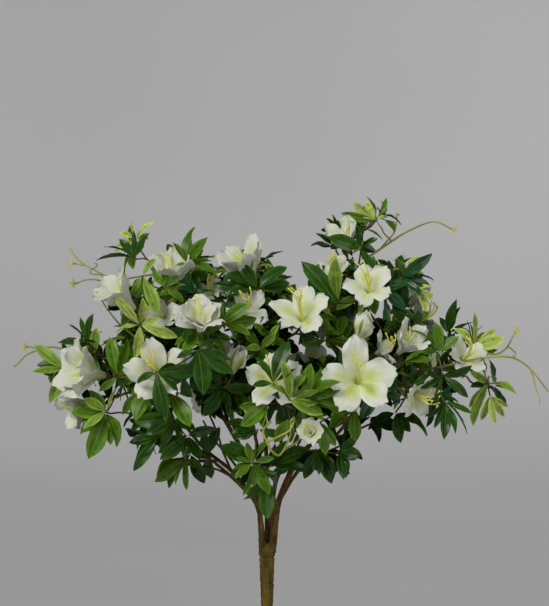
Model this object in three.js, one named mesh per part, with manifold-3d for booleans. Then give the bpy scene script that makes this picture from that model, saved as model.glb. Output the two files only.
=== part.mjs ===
// Artificial azalea bush in a plain clay pot.
//
// A moulded stem stands in the set fill of a tapered pot, swells into a collar and forks there
// into slim boughs. The boughs carry the crown, built here as closed uneven masses of foliage,
// and curly tendrils reach out past it. Millimetres, +Z up, +X to the right of the front view,
// the front of the bush facing -Y. The origin is the centre of the pot's underside.

import Module from "manifold-3d";
import * as THREE from "three";
import { mergeVertices } from "three/addons/utils/BufferGeometryUtils.js";

const wasm = await Module();
wasm.setup();

// Clearance between neighbouring solids.
const CLEARANCE = 0.35;

// Pot: a turned clay pot with a rim band.
const POT_HEIGHT = 150;
const POT_FOOT_RADIUS = 58;
const POT_FOOT_BEVEL = 2;
const POT_BAND_BOTTOM = 124;
const POT_NECK_RADIUS = 77;
const POT_BAND_RADIUS = 84.5;
const POT_BAND_STEP = 1.5;
const POT_FLOOR = 10;
const POT_FLOOR_RADIUS = 51.5;
const POT_MOUTH_RADIUS = 75;
const POT_LIP_ROUND = 1.5;
const POT_SIDES = 32;

// Fill: set hard in the pot, with a blind hole for the stem.
const FILL_TOP = 138;
const STEM_HOLE_BOTTOM = 78;

// Stem: a moulded rod that swells towards the collar above its seam.
const STEM_RADIUS = 5.5;
const STEM_SWELL_START = 179;
const STEM_TOP_RADIUS = 7.05;
const SEAM_HEIGHT = 224.7;
const COLLAR_RADIUS = 8.3;
const COLLAR_SHOULDER = 238;
const COLLAR_TOP = 240;
const COLLAR_TOP_RADIUS = 7.9;
const STEM_SIDES = 16;

// Limbs: sides and steps of the tapering boughs and tendrils.
const BOUGH_SIDES = 6;
const BOUGH_STEPS = 6;
const TENDRIL_SIDES = 5;
const TENDRIL_STEPS = 7;
const TENDRIL_ROOT_RADIUS = 2.1;
const TENDRIL_TIP_RADIUS = 1.2;

// Masses: a ball of small faces with bumps, where leaves and blooms stand further out. A mass
// whose mean half size is small takes a ball of fewer faces.
const FINE_BALL_DETAIL = 2;
const PLAIN_BALL_DETAIL = 1;
const FINE_BALL_SIZE = 35.5;
const BUMP_COUNT = 12;
const BUMP_LOW = 0.05;
const BUMP_HIGH = 0.3;
const BUMP_SHARPNESS = 6;
const BALL_SHRINK = 0.86;

// Size of the blocks that cut a solid off at a plane.
const CUT_BLOCK = 400;

// Finishes of the made parts.
const CLAY = new THREE.MeshStandardMaterial({ color: 0xa9603c, roughness: 0.85, metalness: 0 });
const PLASTER = new THREE.MeshStandardMaterial({ color: 0x6f6455, roughness: 0.95, metalness: 0 });
const STEM_PLASTIC = new THREE.MeshStandardMaterial({ color: 0x5a4a22, roughness: 0.55, metalness: 0 });
const BOUGH_PLASTIC = new THREE.MeshStandardMaterial({ color: 0x4b3522, roughness: 0.6, metalness: 0 });
const TENDRIL_PLASTIC = new THREE.MeshStandardMaterial({ color: 0x8a8448, roughness: 0.5, metalness: 0 });
const FOLIAGE = new THREE.MeshStandardMaterial({ color: 0x4c7038, roughness: 0.7, metalness: 0 });

// Boughs: where each starts, what it passes and where it ends inside a mass, with its radius at
// root and tip. A bough that starts on another one is cut to sit against it.
const BOUGHS = {
  bough_left_low: {
    route: [[-4, -3, 238], [-8, -9, 270], [-24, -18, 294], [-66, -36, 333]],
    radii: [2.9, 2.3],
  },
  bough_right_low: {
    route: [[5, -3.2, 238], [14, -11, 287], [42, -15, 333], [84, -14, 360]],
    radii: [2.9, 2.1],
  },
  bough_left_mid: {
    route: [[-4, 3.6, 238], [-10, 11, 286], [-24, 16, 324], [-51, 2, 372]],
    radii: [2.4, 1.9],
  },
  bough_centre: {
    route: [[1, 5.6, 238], [0, 16, 277], [-1, 24, 325], [-5, 0, 400]],
    radii: [2.3, 1.8],
  },
  bough_right_inner: {
    route: [[5.6, 2.3, 238], [7, -2, 290], [21, -8, 321], [42, -40, 372]],
    radii: [2.2, 1.7],
  },
  bough_left_rear: {
    route: [[-13, -10, 283], [-34, 0, 306], [-64, 26, 329], [-98, 62, 372]],
    radii: [1.9, 1.5],
  },
  bough_right_rear: {
    route: [[6, 0, 268], [30, 24, 304], [70, 50, 340], [100, 72, 384]],
    radii: [1.9, 1.5],
  },
  bough_rear: {
    route: [[0, 17, 278], [-6, 40, 312], [-12, 60, 336], [-18, 84, 372]],
    radii: [1.9, 1.5],
  },
  bough_front: {
    route: [[9, -9, 266], [7, -30, 282], [-2, -52, 296], [-6, -62, 310]],
    radii: [1.7, 1.4],
  },
  bough_front_high: {
    route: [[8, -4, 296], [12, -40, 324], [14, -74, 350], [16, -100, 372]],
    radii: [1.7, 1.4],
  },
  bough_base_left: {
    route: [[-47, -26, 316], [-60, -18, 316], [-70, -8, 313], [-80, 2, 309]],
    radii: [1.6, 1.3],
  },
  bough_base_right: {
    route: [[26, -13, 313], [38, -20, 316], [48, -24, 320], [58, -27, 325]],
    radii: [1.6, 1.3],
  },
};

// Masses of foliage: centre and half sizes.
const MASSES = {
  mass_left_tip: { at: [-194, 0, 404], half: [29, 34, 26] },
  mass_left_shoulder: { at: [-158, -30, 410], half: [30, 44, 36] },
  mass_left_skirt: { at: [-154, -38, 361], half: [31, 40, 33] },
  mass_left_mid: { at: [-107, -72, 400], half: [34, 48, 37] },
  mass_left_low: { at: [-99, -22, 347], half: [38, 50, 31] },
  mass_left_base: { at: [-82, 6, 307], half: [24, 34, 24] },
  mass_left_upper: { at: [-120, -40, 460], half: [33, 46, 33] },
  mass_left_crest: { at: [-120, -10, 514], half: [22, 26, 36] },
  mass_upper_left: { at: [-76, -15, 490], half: [31, 46, 42] },
  mass_mid_left: { at: [-58, -92, 438], half: [33, 46, 35] },
  mass_top_mid: { at: [-16, -10, 486], half: [40, 50, 35] },
  mass_heart_left: { at: [-41, -30, 382], half: [38, 60, 33] },
  mass_heart: { at: [-4, -40, 427], half: [36, 64, 36] },
  mass_front_mid: { at: [16, -112, 382], half: [34, 44, 36] },
  mass_top_centre: { at: [37, -56, 454], half: [34, 50, 32] },
  mass_front_base: { at: [-4, -62, 308], half: [25, 27, 38] },
  mass_right_base: { at: [62, -30, 327], half: [33, 38, 31] },
  mass_right_mid: { at: [86, -78, 395], half: [40, 50, 39] },
  mass_upper_right: { at: [85, -42, 478], half: [34, 48, 36] },
  mass_top_right: { at: [80, -15, 526], half: [29, 33, 31] },
  mass_crest_sprig: { at: [102, 2, 543], half: [19, 18, 19] },
  mass_right_upper: { at: [129, 0, 486], half: [30, 44, 33] },
  mass_right_outer: { at: [133, -35, 430], half: [34, 46, 34] },
  mass_right_tip: { at: [185, -8, 423], half: [33, 36, 33] },
  mass_right_skirt: { at: [148, -38, 377], half: [35, 40, 34] },
  mass_right_droop: { at: [208, -2, 383], half: [23, 26, 30] },
  mass_rear_left: { at: [-118, 78, 412], half: [46, 58, 48] },
  mass_rear_left_top: { at: [-70, 80, 460], half: [45, 54, 42] },
  mass_rear_top: { at: [-2, 92, 462], half: [46, 62, 42] },
  mass_rear_mid: { at: [-34, 92, 384], half: [50, 66, 37] },
  mass_rear_right_top: { at: [66, 80, 462], half: [44, 54, 42] },
  mass_rear_mid_right: { at: [50, 92, 382], half: [46, 64, 38] },
  mass_rear_right: { at: [122, 78, 412], half: [46, 58, 48] },
};

// Tendrils: routes from inside a mass out to the free tip.
const TENDRILS = {
  tendril_left_low: [[-178, 0, 417], [-205, 2, 421], [-222, 5, 415], [-238, 8, 403]],
  tendril_left_high: [[-104, -10, 489], [-141, -16, 485], [-166, -18, 496], [-182, -14, 512]],
  tendril_left_fork: [[-122, -50, 458], [-144, -58, 479], [-158, -60, 483], [-176, -60, 481]],
  tendril_left_hook: [[-120, -60, 432], [-134, -66, 444], [-145, -72, 459], [-154, -76, 471]],
  tendril_right_high: [[96, 0, 506], [128, 8, 527], [155, 16, 539], [175, 18, 531]],
  tendril_right_far: [[150, -44, 402], [197, -52, 412], [229, -44, 411], [258, -36, 382]],
  tendril_right_star: [[186, -20, 420], [205, -22, 415], [219, -24, 419], [231, -28, 438]],
};

/** Random numbers from 0 to 1 that depend only on the given word. */
function seeded(word) {
  let state = 2166136261;
  for (const letter of word) {
    state = Math.imul(state ^ letter.charCodeAt(0), 16777619);
  }
  return () => {
    state = (Math.imul(state, 1664525) + 1013904223) | 0;
    return (state >>> 0) / 4294967296;
  };
}

/** The closed solid of a three.js geometry, its shared corners merged and thin faces dropped. */
function solidOf(geometry) {
  geometry.deleteAttribute("normal");
  geometry.deleteAttribute("uv");
  const merged = mergeVertices(geometry, 1e-4);
  const index = merged.index.array;
  const kept = [];
  for (let i = 0; i < index.length; i += 3) {
    const [a, b, c] = [index[i], index[i + 1], index[i + 2]];
    if (a !== b && b !== c && a !== c) {
      kept.push(a, b, c);
    }
  }
  const vertProperties = new Float32Array(merged.attributes.position.array);
  const triVerts = new Uint32Array(kept);
  return new wasm.Manifold(new wasm.Mesh({ numProp: 3, vertProperties, triVerts }));
}

/** The geometry of a closed solid. */
function geometryOf(solid) {
  const mesh = solid.getMesh();
  const geometry = new THREE.BufferGeometry();
  geometry.setAttribute("position", new THREE.BufferAttribute(mesh.vertProperties, 3));
  geometry.setIndex(new THREE.BufferAttribute(mesh.triVerts, 1));
  geometry.computeVertexNormals();
  return geometry;
}

/** A solid turned round the Z axis from a profile of [radius, height] points. */
function turned(profile, sides) {
  const points = profile.map(([radius, height]) => new THREE.Vector2(radius, height));
  return solidOf(new THREE.LatheGeometry(points, sides).rotateX(Math.PI / 2));
}

/** A tapering round limb along a smooth curve: a turned rod whose rings follow the curve. */
function limb(route, radii, sides, steps, grow = 0) {
  const curve = new THREE.CatmullRomCurve3(route.map((point) => new THREE.Vector3(...point)));
  const profile = [new THREE.Vector2(0, 0)];
  for (let step = 0; step <= steps; step += 1) {
    const share = step / steps;
    profile.push(new THREE.Vector2(THREE.MathUtils.lerp(radii[0], radii[1], share) + grow, share));
  }
  profile.push(new THREE.Vector2(0, 1));
  const rod = new THREE.LatheGeometry(profile, sides);
  const frames = [];
  let across = new THREE.Vector3(0, 1, 0);
  for (let step = 0; step <= steps; step += 1) {
    const along = curve.getTangentAt(step / steps);
    across = across.clone().addScaledVector(along, -across.dot(along)).normalize();
    const reach = grow * (step === 0 ? -1 : step === steps ? 1 : 0);
    const centre = curve.getPointAt(step / steps).addScaledVector(along, reach);
    frames.push({ centre, across, side: across.clone().cross(along) });
  }
  const position = rod.attributes.position;
  const corner = new THREE.Vector3();
  for (let i = 0; i < position.count; i += 1) {
    const frame = frames[Math.round(position.getY(i) * steps)];
    corner.copy(frame.centre);
    corner.addScaledVector(frame.across, position.getX(i));
    corner.addScaledVector(frame.side, position.getZ(i));
    position.setXYZ(i, corner.x, corner.y, corner.z);
  }
  return solidOf(rod);
}

/** An uneven lump of foliage: a ball of small faces, stretched to its half sizes, with bumps. */
function mass(name, at, half) {
  const random = seeded(name);
  const bumps = [];
  for (let i = 0; i < BUMP_COUNT; i += 1) {
    const height = 2 * random() - 1;
    const turn = 2 * Math.PI * random();
    const flat = Math.sqrt(1 - height * height);
    const axis = new THREE.Vector3(flat * Math.cos(turn), flat * Math.sin(turn), height);
    bumps.push({ axis, lift: THREE.MathUtils.lerp(BUMP_LOW, BUMP_HIGH, random()) });
  }
  const meanSize = Math.cbrt(half[0] * half[1] * half[2]);
  const detail = meanSize > FINE_BALL_SIZE ? FINE_BALL_DETAIL : PLAIN_BALL_DETAIL;
  const ball = new THREE.IcosahedronGeometry(1, detail);
  const position = ball.attributes.position;
  const corner = new THREE.Vector3();
  for (let i = 0; i < position.count; i += 1) {
    corner.fromBufferAttribute(position, i).normalize();
    let reach = BALL_SHRINK;
    for (const { axis, lift } of bumps) {
      reach += lift * Math.max(0, corner.dot(axis)) ** BUMP_SHARPNESS;
    }
    reach = Math.min(reach, 1);
    corner.multiplyScalar(reach).multiply(new THREE.Vector3(...half)).add(new THREE.Vector3(...at));
    position.setXYZ(i, corner.x, corner.y, corner.z);
  }
  return solidOf(ball);
}

/** A large block that fills the side of a plane which the normal points to. */
function blockBeyond(point, normal) {
  const block = new THREE.BoxGeometry(CUT_BLOCK, CUT_BLOCK, CUT_BLOCK).translate(0, 0, CUT_BLOCK / 2);
  const turn = new THREE.Quaternion().setFromUnitVectors(new THREE.Vector3(0, 0, 1), normal);
  block.applyQuaternion(turn).translate(point.x, point.y, point.z);
  return solidOf(block);
}

/** Cuts two overlapping masses back to the plane where their outlines cross. */
function shareOut(masses, first, second) {
  const [centreA, centreB] = [first, second].map((name) => new THREE.Vector3(...MASSES[name].at));
  const [halfA, halfB] = [first, second].map((name) => new THREE.Vector3(...MASSES[name].half));
  const apart = centreB.clone().sub(centreA);
  const reachA = 1 / apart.clone().divide(halfA).length();
  const reachB = 1 / apart.clone().divide(halfB).length();
  const middle = centreA.clone().addScaledVector(apart, reachA / (reachA + reachB));
  const slopeA = middle.clone().sub(centreA).divide(halfA).divide(halfA);
  const slopeB = middle.clone().sub(centreB).divide(halfB).divide(halfB);
  const normal = slopeA.sub(slopeB).normalize();
  const edgeA = middle.clone().addScaledVector(normal, -CLEARANCE / 2);
  const edgeB = middle.clone().addScaledVector(normal, CLEARANCE / 2);
  masses[first] = masses[first].subtract(blockBeyond(edgeA, normal));
  masses[second] = masses[second].subtract(blockBeyond(edgeB, normal.clone().negate()));
}

/** The pot: foot, tapered wall and rim band, open at the top. */
function pot() {
  return turned([
    [0, 0],
    [POT_FOOT_RADIUS - POT_FOOT_BEVEL, 0],
    [POT_FOOT_RADIUS, POT_FOOT_BEVEL],
    [POT_NECK_RADIUS, POT_BAND_BOTTOM],
    [POT_BAND_RADIUS - POT_BAND_STEP, POT_BAND_BOTTOM + POT_BAND_STEP],
    [POT_BAND_RADIUS, POT_HEIGHT - POT_LIP_ROUND],
    [POT_BAND_RADIUS - POT_LIP_ROUND, POT_HEIGHT],
    [POT_MOUTH_RADIUS + POT_LIP_ROUND, POT_HEIGHT],
    [POT_MOUTH_RADIUS, POT_HEIGHT - POT_LIP_ROUND],
    [POT_FLOOR_RADIUS, POT_FLOOR],
    [0, POT_FLOOR],
  ], POT_SIDES);
}

/** The fill: it follows the inside of the pot and leaves the hole that the stem stands in. */
function potFill() {
  const wallRun = (POT_MOUTH_RADIUS - POT_FLOOR_RADIUS) / (POT_HEIGHT - POT_LIP_ROUND - POT_FLOOR);
  const bottom = POT_FLOOR + CLEARANCE;
  const topRadius = POT_FLOOR_RADIUS + wallRun * (FILL_TOP - POT_FLOOR) - CLEARANCE;
  const holeRadius = STEM_RADIUS + CLEARANCE;
  return turned([
    [0, bottom],
    [POT_FLOOR_RADIUS - CLEARANCE, bottom],
    [topRadius, FILL_TOP],
    [holeRadius, FILL_TOP],
    [holeRadius, STEM_HOLE_BOTTOM],
    [0, STEM_HOLE_BOTTOM],
  ], POT_SIDES);
}

/** The stem: a round rod from its hole in the fill up to the seam. */
function mainStem() {
  return turned([
    [0, STEM_HOLE_BOTTOM + CLEARANCE],
    [STEM_RADIUS, STEM_HOLE_BOTTOM + CLEARANCE],
    [STEM_RADIUS, STEM_SWELL_START],
    [STEM_TOP_RADIUS, SEAM_HEIGHT],
    [0, SEAM_HEIGHT],
  ], STEM_SIDES);
}

/** The collar: the swelling above the seam that the boughs rise from. */
function stemCollar() {
  return turned([
    [0, SEAM_HEIGHT + CLEARANCE],
    [STEM_TOP_RADIUS, SEAM_HEIGHT + CLEARANCE],
    [COLLAR_RADIUS, COLLAR_SHOULDER],
    [COLLAR_TOP_RADIUS, COLLAR_TOP],
    [0, COLLAR_TOP],
  ], STEM_SIDES);
}

/** All boughs, each cut flat on the collar and cut to sit against the boughs before it. */
function boughs() {
  const collarBlock = blockBeyond(
    new THREE.Vector3(0, 0, COLLAR_TOP + CLEARANCE),
    new THREE.Vector3(0, 0, -1),
  );
  const solids = {};
  const cutters = [];
  for (const [name, { route, radii }] of Object.entries(BOUGHS)) {
    let solid = limb(route, radii, BOUGH_SIDES, BOUGH_STEPS).subtract(collarBlock);
    for (const cutter of cutters) {
      solid = solid.subtract(cutter);
    }
    solids[name] = solid;
    cutters.push(limb(route, radii, BOUGH_SIDES, BOUGH_STEPS, CLEARANCE));
  }
  return { solids, cutters };
}

/** All tendrils, slim limbs that start inside a mass and end free. */
function tendrils() {
  const radii = [TENDRIL_ROOT_RADIUS, TENDRIL_TIP_RADIUS];
  const solids = {};
  const cutters = [];
  for (const [name, route] of Object.entries(TENDRILS)) {
    solids[name] = limb(route, radii, TENDRIL_SIDES, TENDRIL_STEPS);
    cutters.push(limb(route, radii, TENDRIL_SIDES, TENDRIL_STEPS, CLEARANCE));
  }
  return { solids, cutters };
}

/** All masses, shared out between neighbours and cut clear of the limbs that enter them. */
function foliage(cutters) {
  const solids = {};
  for (const [name, { at, half }] of Object.entries(MASSES)) {
    solids[name] = mass(name, at, half);
  }
  const names = Object.keys(MASSES);
  for (let i = 0; i < names.length; i += 1) {
    for (let j = i + 1; j < names.length; j += 1) {
      if (solids[names[i]].intersect(solids[names[j]]).volume() > 0) {
        shareOut(solids, names[i], names[j]);
      }
    }
  }
  for (const name of names) {
    for (const cutter of cutters) {
      solids[name] = solids[name].subtract(cutter);
    }
  }
  return solids;
}

/** Adds named meshes of one material to the group. */
function addMeshes(group, solids, material) {
  for (const [name, solid] of Object.entries(solids)) {
    const mesh = new THREE.Mesh(geometryOf(solid), material);
    mesh.name = name;
    group.add(mesh);
  }
}

const bush = new THREE.Group();
const boughSet = boughs();
const tendrilSet = tendrils();
addMeshes(bush, { pot: pot() }, CLAY);
addMeshes(bush, { pot_fill: potFill() }, PLASTER);
addMeshes(bush, { main_stem: mainStem(), stem_collar: stemCollar() }, STEM_PLASTIC);
addMeshes(bush, boughSet.solids, BOUGH_PLASTIC);
addMeshes(bush, tendrilSet.solids, TENDRIL_PLASTIC);
addMeshes(bush, foliage([...boughSet.cutters, ...tendrilSet.cutters]), FOLIAGE);

export default bush;
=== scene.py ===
"""The looks of an artificial azalea bush in a clay pot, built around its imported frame.

The bush grows as the real one is made: a moulded stem forks into boughs, a seeded branching rule
carries twigs from the boughs through each mass of foliage, and every twig ends in a whorl of cloth
leaves or in a silk bloom. Metres, +Z up, the front of the bush facing -Y. The plans of single
blooms, whorls and tendrils are written in millimetres, as their maker would measure them.
"""

import logging
from collections.abc import Iterable, Sequence
from dataclasses import dataclass, field
from enum import Enum, IntEnum
from math import cos, exp, hypot, inf, pi, radians, sin, sqrt
from random import Random

import bpy
import numpy as np
from bpy.types import ID, Material, NodeSocket, NodeTree, Object
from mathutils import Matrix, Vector, noise


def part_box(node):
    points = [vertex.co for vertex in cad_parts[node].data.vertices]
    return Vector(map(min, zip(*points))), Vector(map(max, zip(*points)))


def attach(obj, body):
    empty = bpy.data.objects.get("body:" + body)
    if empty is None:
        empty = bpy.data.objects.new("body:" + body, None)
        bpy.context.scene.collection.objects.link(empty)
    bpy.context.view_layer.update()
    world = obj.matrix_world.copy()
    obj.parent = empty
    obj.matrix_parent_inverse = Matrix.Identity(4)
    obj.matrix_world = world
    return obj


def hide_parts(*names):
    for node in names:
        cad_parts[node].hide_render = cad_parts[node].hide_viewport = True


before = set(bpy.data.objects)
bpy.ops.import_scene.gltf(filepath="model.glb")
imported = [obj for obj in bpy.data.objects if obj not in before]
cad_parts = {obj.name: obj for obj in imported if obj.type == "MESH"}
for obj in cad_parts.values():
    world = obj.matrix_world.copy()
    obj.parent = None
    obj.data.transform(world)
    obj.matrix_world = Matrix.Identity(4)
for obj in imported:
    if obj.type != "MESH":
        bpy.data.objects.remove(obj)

LOG = logging.getLogger("azalea")
MM = 0.001
BODY = "root"
GOLDEN_TURN = radians(137.508)
CURVE_STEPS = 24

UP = np.array([0.0, 0.0, 1.0])
BACK = np.array([0.0, 1.0, 0.0])

Array = np.ndarray
Pair = tuple[float, float]
Point = tuple[float, float, float]
Colour = tuple[int, int, int]
LinearColour = tuple[float, float, float, float]
Limb = tuple[tuple[Point, ...], float, float]
Box = tuple[Array, Array]


class Seed(IntEnum):
    """The seeds of the random sources, one for each kind of part."""

    LEAVES = 4127
    TWIGS = 4128
    BLOOMS = 4129
    SET_WHORLS = 4130
    TENDRILS = 4132
    CHIP = 4136
    GROWN_WHORLS = 4150


# --- Small helpers ---


def unit(vector: Array) -> Array:
    """A vector of length one along the given one."""
    return vector / max(float(np.linalg.norm(vector)), 1e-9)


def facing(turn: float, rise: float) -> Array:
    """A direction from two angles.

    Args:
        turn: Degrees to the right of straight at the viewer in front of the bush.
        rise: Degrees above the level.

    Returns:
        A unit vector.
    """
    a, e = radians(turn), radians(rise)
    return np.array([sin(a) * cos(e), -cos(a) * cos(e), sin(e)])


def square_to(vector: Array, axis: Array) -> Array:
    """The part of a vector that is square to an axis, at length one."""
    rest = vector - axis * float(vector @ axis)
    if np.linalg.norm(rest) < 1e-4:
        rest = np.cross(axis, (0.31, 0.87, 0.38))
    return unit(rest)


def smooth_path(points: Sequence[Point], steps: int) -> Array:
    """A smooth curve through a few points, evenly walked.

    Args:
        points: The points that the curve passes.
        steps: How many points the result has.

    Returns:
        An array of steps rows of x, y and z.
    """
    p = np.array(points, float)
    p = np.vstack([2 * p[0] - p[1], p, 2 * p[-1] - p[-2]])
    fine = []
    for i in range(1, len(p) - 2):
        a, b, c, d = p[i - 1 : i + 3]
        bend, swing = 2 * a - 5 * b + 4 * c - d, 3 * b - a - 3 * c + d
        for t in np.linspace(0, 1, CURVE_STEPS, endpoint=False):
            fine.append(0.5 * (2 * b + (c - a) * t + bend * t**2 + swing * t**3))
    fine.append(p[-2])
    line = np.array(fine)
    walked = np.r_[0, np.cumsum(np.linalg.norm(np.diff(line, axis=0), axis=1))]
    even = np.linspace(0, walked[-1], steps)
    return np.stack([np.interp(even, walked, line[:, k]) for k in range(3)], axis=1)


def bent_path(start: Array, leave: Array, end: Array, arrive: Array, steps: int) -> Array:
    """A twig's curve that leaves and arrives along given directions.

    Args:
        start: Where it starts.
        leave: The direction in which it leaves, times how strongly.
        end: Where it ends.
        arrive: The direction in which it arrives, times how strongly.
        steps: How many points the result has.

    Returns:
        An array of steps rows of x, y and z.
    """
    t = np.linspace(0, 1, steps)[:, None]
    a, b = start + leave, end - arrive
    return start * (1 - t) ** 3 + 3 * a * t * (1 - t) ** 2 + 3 * b * t**2 * (1 - t) + end * t**3


def linear(red: int, green: int, blue: int) -> LinearColour:
    """A screen colour from 0 to 255 as the linear colour that shaders use."""
    shares = [channel / 255 for channel in (red, green, blue)]
    made = [s / 12.92 if s <= 0.04045 else ((s + 0.055) / 1.055) ** 2.4 for s in shares]
    return (made[0], made[1], made[2], 1.0)


def blend(low: float, high: float, share: float) -> float:
    """A value between two others."""
    return low + (high - low) * share


def linked(name: str, data: ID) -> Object:
    """Makes an object of some data and links it to the scene."""
    made = bpy.data.objects.new(name, data)
    bpy.context.scene.collection.objects.link(made)
    return made


# --- Node trees ---


class Wire:
    """A node's output that Python arithmetic works on."""

    def __init__(self, sheet: "Sheet", socket: NodeSocket) -> None:
        """Keeps the socket and the sheet its Math nodes are added to."""
        self.sheet = sheet
        self.socket = socket

    def _maths(self, operation: str, first: object, second: object) -> "Wire":
        """The outcome of a Math node on two values or wires."""
        return self.sheet.node("ShaderNodeMath", {"operation": operation}, {0: first, 1: second})

    def __add__(self, other: object) -> "Wire":
        """self + other."""
        return self._maths("ADD", self, other)

    __radd__ = __add__

    def __sub__(self, other: object) -> "Wire":
        """self - other."""
        return self._maths("SUBTRACT", self, other)

    def __rsub__(self, other: object) -> "Wire":
        """other - self."""
        return self._maths("SUBTRACT", other, self)

    def __mul__(self, other: object) -> "Wire":
        """self * other."""
        return self._maths("MULTIPLY", self, other)

    __rmul__ = __mul__


class Sheet:
    """A node tree that is filled node by node."""

    def __init__(self, tree: NodeTree) -> None:
        """Keeps the tree."""
        self.tree = tree

    def feed(self, socket: NodeSocket, value: object) -> None:
        """Links a wire to a socket, or sets a plain value on it."""
        if isinstance(value, Wire):
            self.tree.links.new(value.socket, socket)
        else:
            socket.default_value = value

    def node(self, kind: str, settings: dict, sockets: dict, output: int | str = 0) -> Wire:
        """Adds one node.

        Args:
            kind: The node's type name.
            settings: Its own settings, or "stops" for a ramp's list of (place, colour).
            sockets: Values or wires for its inputs, by name or number.
            output: The output that the wire is taken from.

        Returns:
            A wire from that output.
        """
        made = self.tree.nodes.new(kind)
        for key, value in settings.items():
            if key == "stops":
                ramp = made.color_ramp
                for place, colour in value[2:]:
                    ramp.elements.new(place).color = colour
                ramp.elements[0].position, ramp.elements[0].color = value[0]
                ramp.elements[-1].position, ramp.elements[-1].color = value[1]
            else:
                setattr(made, key, value)
        for key, value in sockets.items():
            self.feed(made.inputs[key], value)
        return Wire(self, made.outputs[output])


class ShaderSheet(Sheet):
    """A material's node tree, with one Principled shader."""

    def __init__(self, name: str) -> None:
        """Makes an empty material with its shader and output.

        Args:
            name: The material's name.
        """
        self.material = bpy.data.materials.new(name)
        self.material.use_nodes = True
        super().__init__(self.material.node_tree)
        self.tree.nodes.clear()
        self.shader = self.tree.nodes.new("ShaderNodeBsdfPrincipled")
        output = self.tree.nodes.new("ShaderNodeOutputMaterial")
        self.tree.links.new(self.shader.outputs["BSDF"], output.inputs["Surface"])

    def place(self) -> Wire:
        """The surface's place in the piece's own frame."""
        return self.node("ShaderNodeTexCoord", {}, {}, "Object")

    def noise(self, scale: float, detail: float, stretch: Point = (1, 1, 1), rough: float = 0.55) -> Wire:
        """A noise pattern, from 0 to 1.

        Args:
            scale: How many blotches a metre holds.
            detail: How many finer layers it has.
            stretch: Squeezes the pattern along x, y and z.
            rough: How strong the finer layers are.

        Returns:
            A wire with the noise value.
        """
        spot = self.node("ShaderNodeMapping", {}, {"Vector": self.place(), "Scale": stretch})
        sockets = {"Vector": spot, "Scale": scale, "Detail": detail, "Roughness": rough}
        return self.node("ShaderNodeTexNoise", {}, sockets)

    def ramp(self, factor: Wire, stops: list[tuple[float, LinearColour]]) -> Wire:
        """Colours picked by a factor. The first two stops are the ends, the others lie between."""
        return self.node("ShaderNodeValToRGB", {"stops": stops}, {"Fac": factor})

    def mix(self, factor: object, first: object, second: object) -> Wire:
        """A mix of two colours."""
        return self.node("ShaderNodeMix", {"data_type": "RGBA"}, {0: factor, 6: first, 7: second}, 2)

    def bump(self, height: Wire, depth: float) -> Wire:
        """A normal bent by a height pattern, depth metres high."""
        return self.node("ShaderNodeBump", {}, {"Height": height, "Distance": depth}, "Normal")

    def dress(self, **sockets: object) -> Material:
        """Sets the shader's sockets, underscores standing for spaces, and returns the material."""
        for key, value in sockets.items():
            self.feed(self.shader.inputs[key.replace("_", " ")], value)
        return self.material


class GeometrySheet(Sheet):
    """A Geometry Nodes tree with named inputs, one of them the Finish that its outcome gets."""

    def __init__(self, name: str, kinds: dict[str, str]) -> None:
        """Makes the tree.

        Args:
            name: Its name.
            kinds: The kind of each named input. The first one is the geometry that it works on.
        """
        super().__init__(bpy.data.node_groups.new(name, "GeometryNodeTree"))
        face = self.tree.interface
        self.named = {
            key: face.new_socket(key, in_out="INPUT", socket_type=f"NodeSocket{kind}").identifier
            for key, kind in kinds.items()
        }
        face.new_socket("Outcome", in_out="OUTPUT", socket_type="NodeSocketGeometry")
        self.inputs = self.tree.nodes.new("NodeGroupInput")

    def given(self, name: str) -> Wire:
        """A wire from a named input."""
        return Wire(self, self.inputs.outputs[name])

    def hand_out(self, made: Wire) -> None:
        """Realizes what was made, gives it its finish and makes it the tree's outcome."""
        real = self.node("GeometryNodeRealizeInstances", {}, {"Geometry": made})
        sockets = {"Geometry": real, "Material": self.given("Finish")}
        dressed = self.node("GeometryNodeSetMaterial", {}, sockets)
        self.feed(self.tree.nodes.new("NodeGroupOutput").inputs["Outcome"], dressed)

    def run(self, carrier: Object, name: str, values: dict[str, object]) -> Object:
        """Runs the tree on an object and turns the outcome into a plain mesh.

        Args:
            carrier: The object that it works on, which is used up.
            name: The name of the new object.
            values: The values of the named inputs.

        Returns:
            The new object, linked to the scene.
        """
        modifier = carrier.modifiers.new(name, "NODES")
        modifier.node_group = self.tree
        for key, value in values.items():
            modifier[self.named[key]] = value
        evaluated = carrier.evaluated_get(bpy.context.evaluated_depsgraph_get())
        mesh = bpy.data.meshes.new_from_object(evaluated)
        mesh.name = name
        bpy.data.objects.remove(carrier)
        return linked(name, mesh)


# --- Finishes ---


@dataclass(frozen=True)
class ClothFinish:
    """Dyed cloth of leaves and petals: one plain colour for each part of a leaf or petal."""

    name: str
    colour: Colour
    roughness: float = 0.5
    specular: float = 0.4
    sheen: float = 0.1
    coat: float = 0.0

    def material(self) -> Material:
        """Makes the material.

        Returns:
            The material.
        """
        return ShaderSheet(self.name).dress(
            Base_Color=linear(*self.colour),
            Roughness=self.roughness,
            Specular_IOR_Level=self.specular,
            Sheen_Weight=self.sheen,
            Coat_Weight=self.coat,
            Coat_Roughness=0.2,
        )


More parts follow.
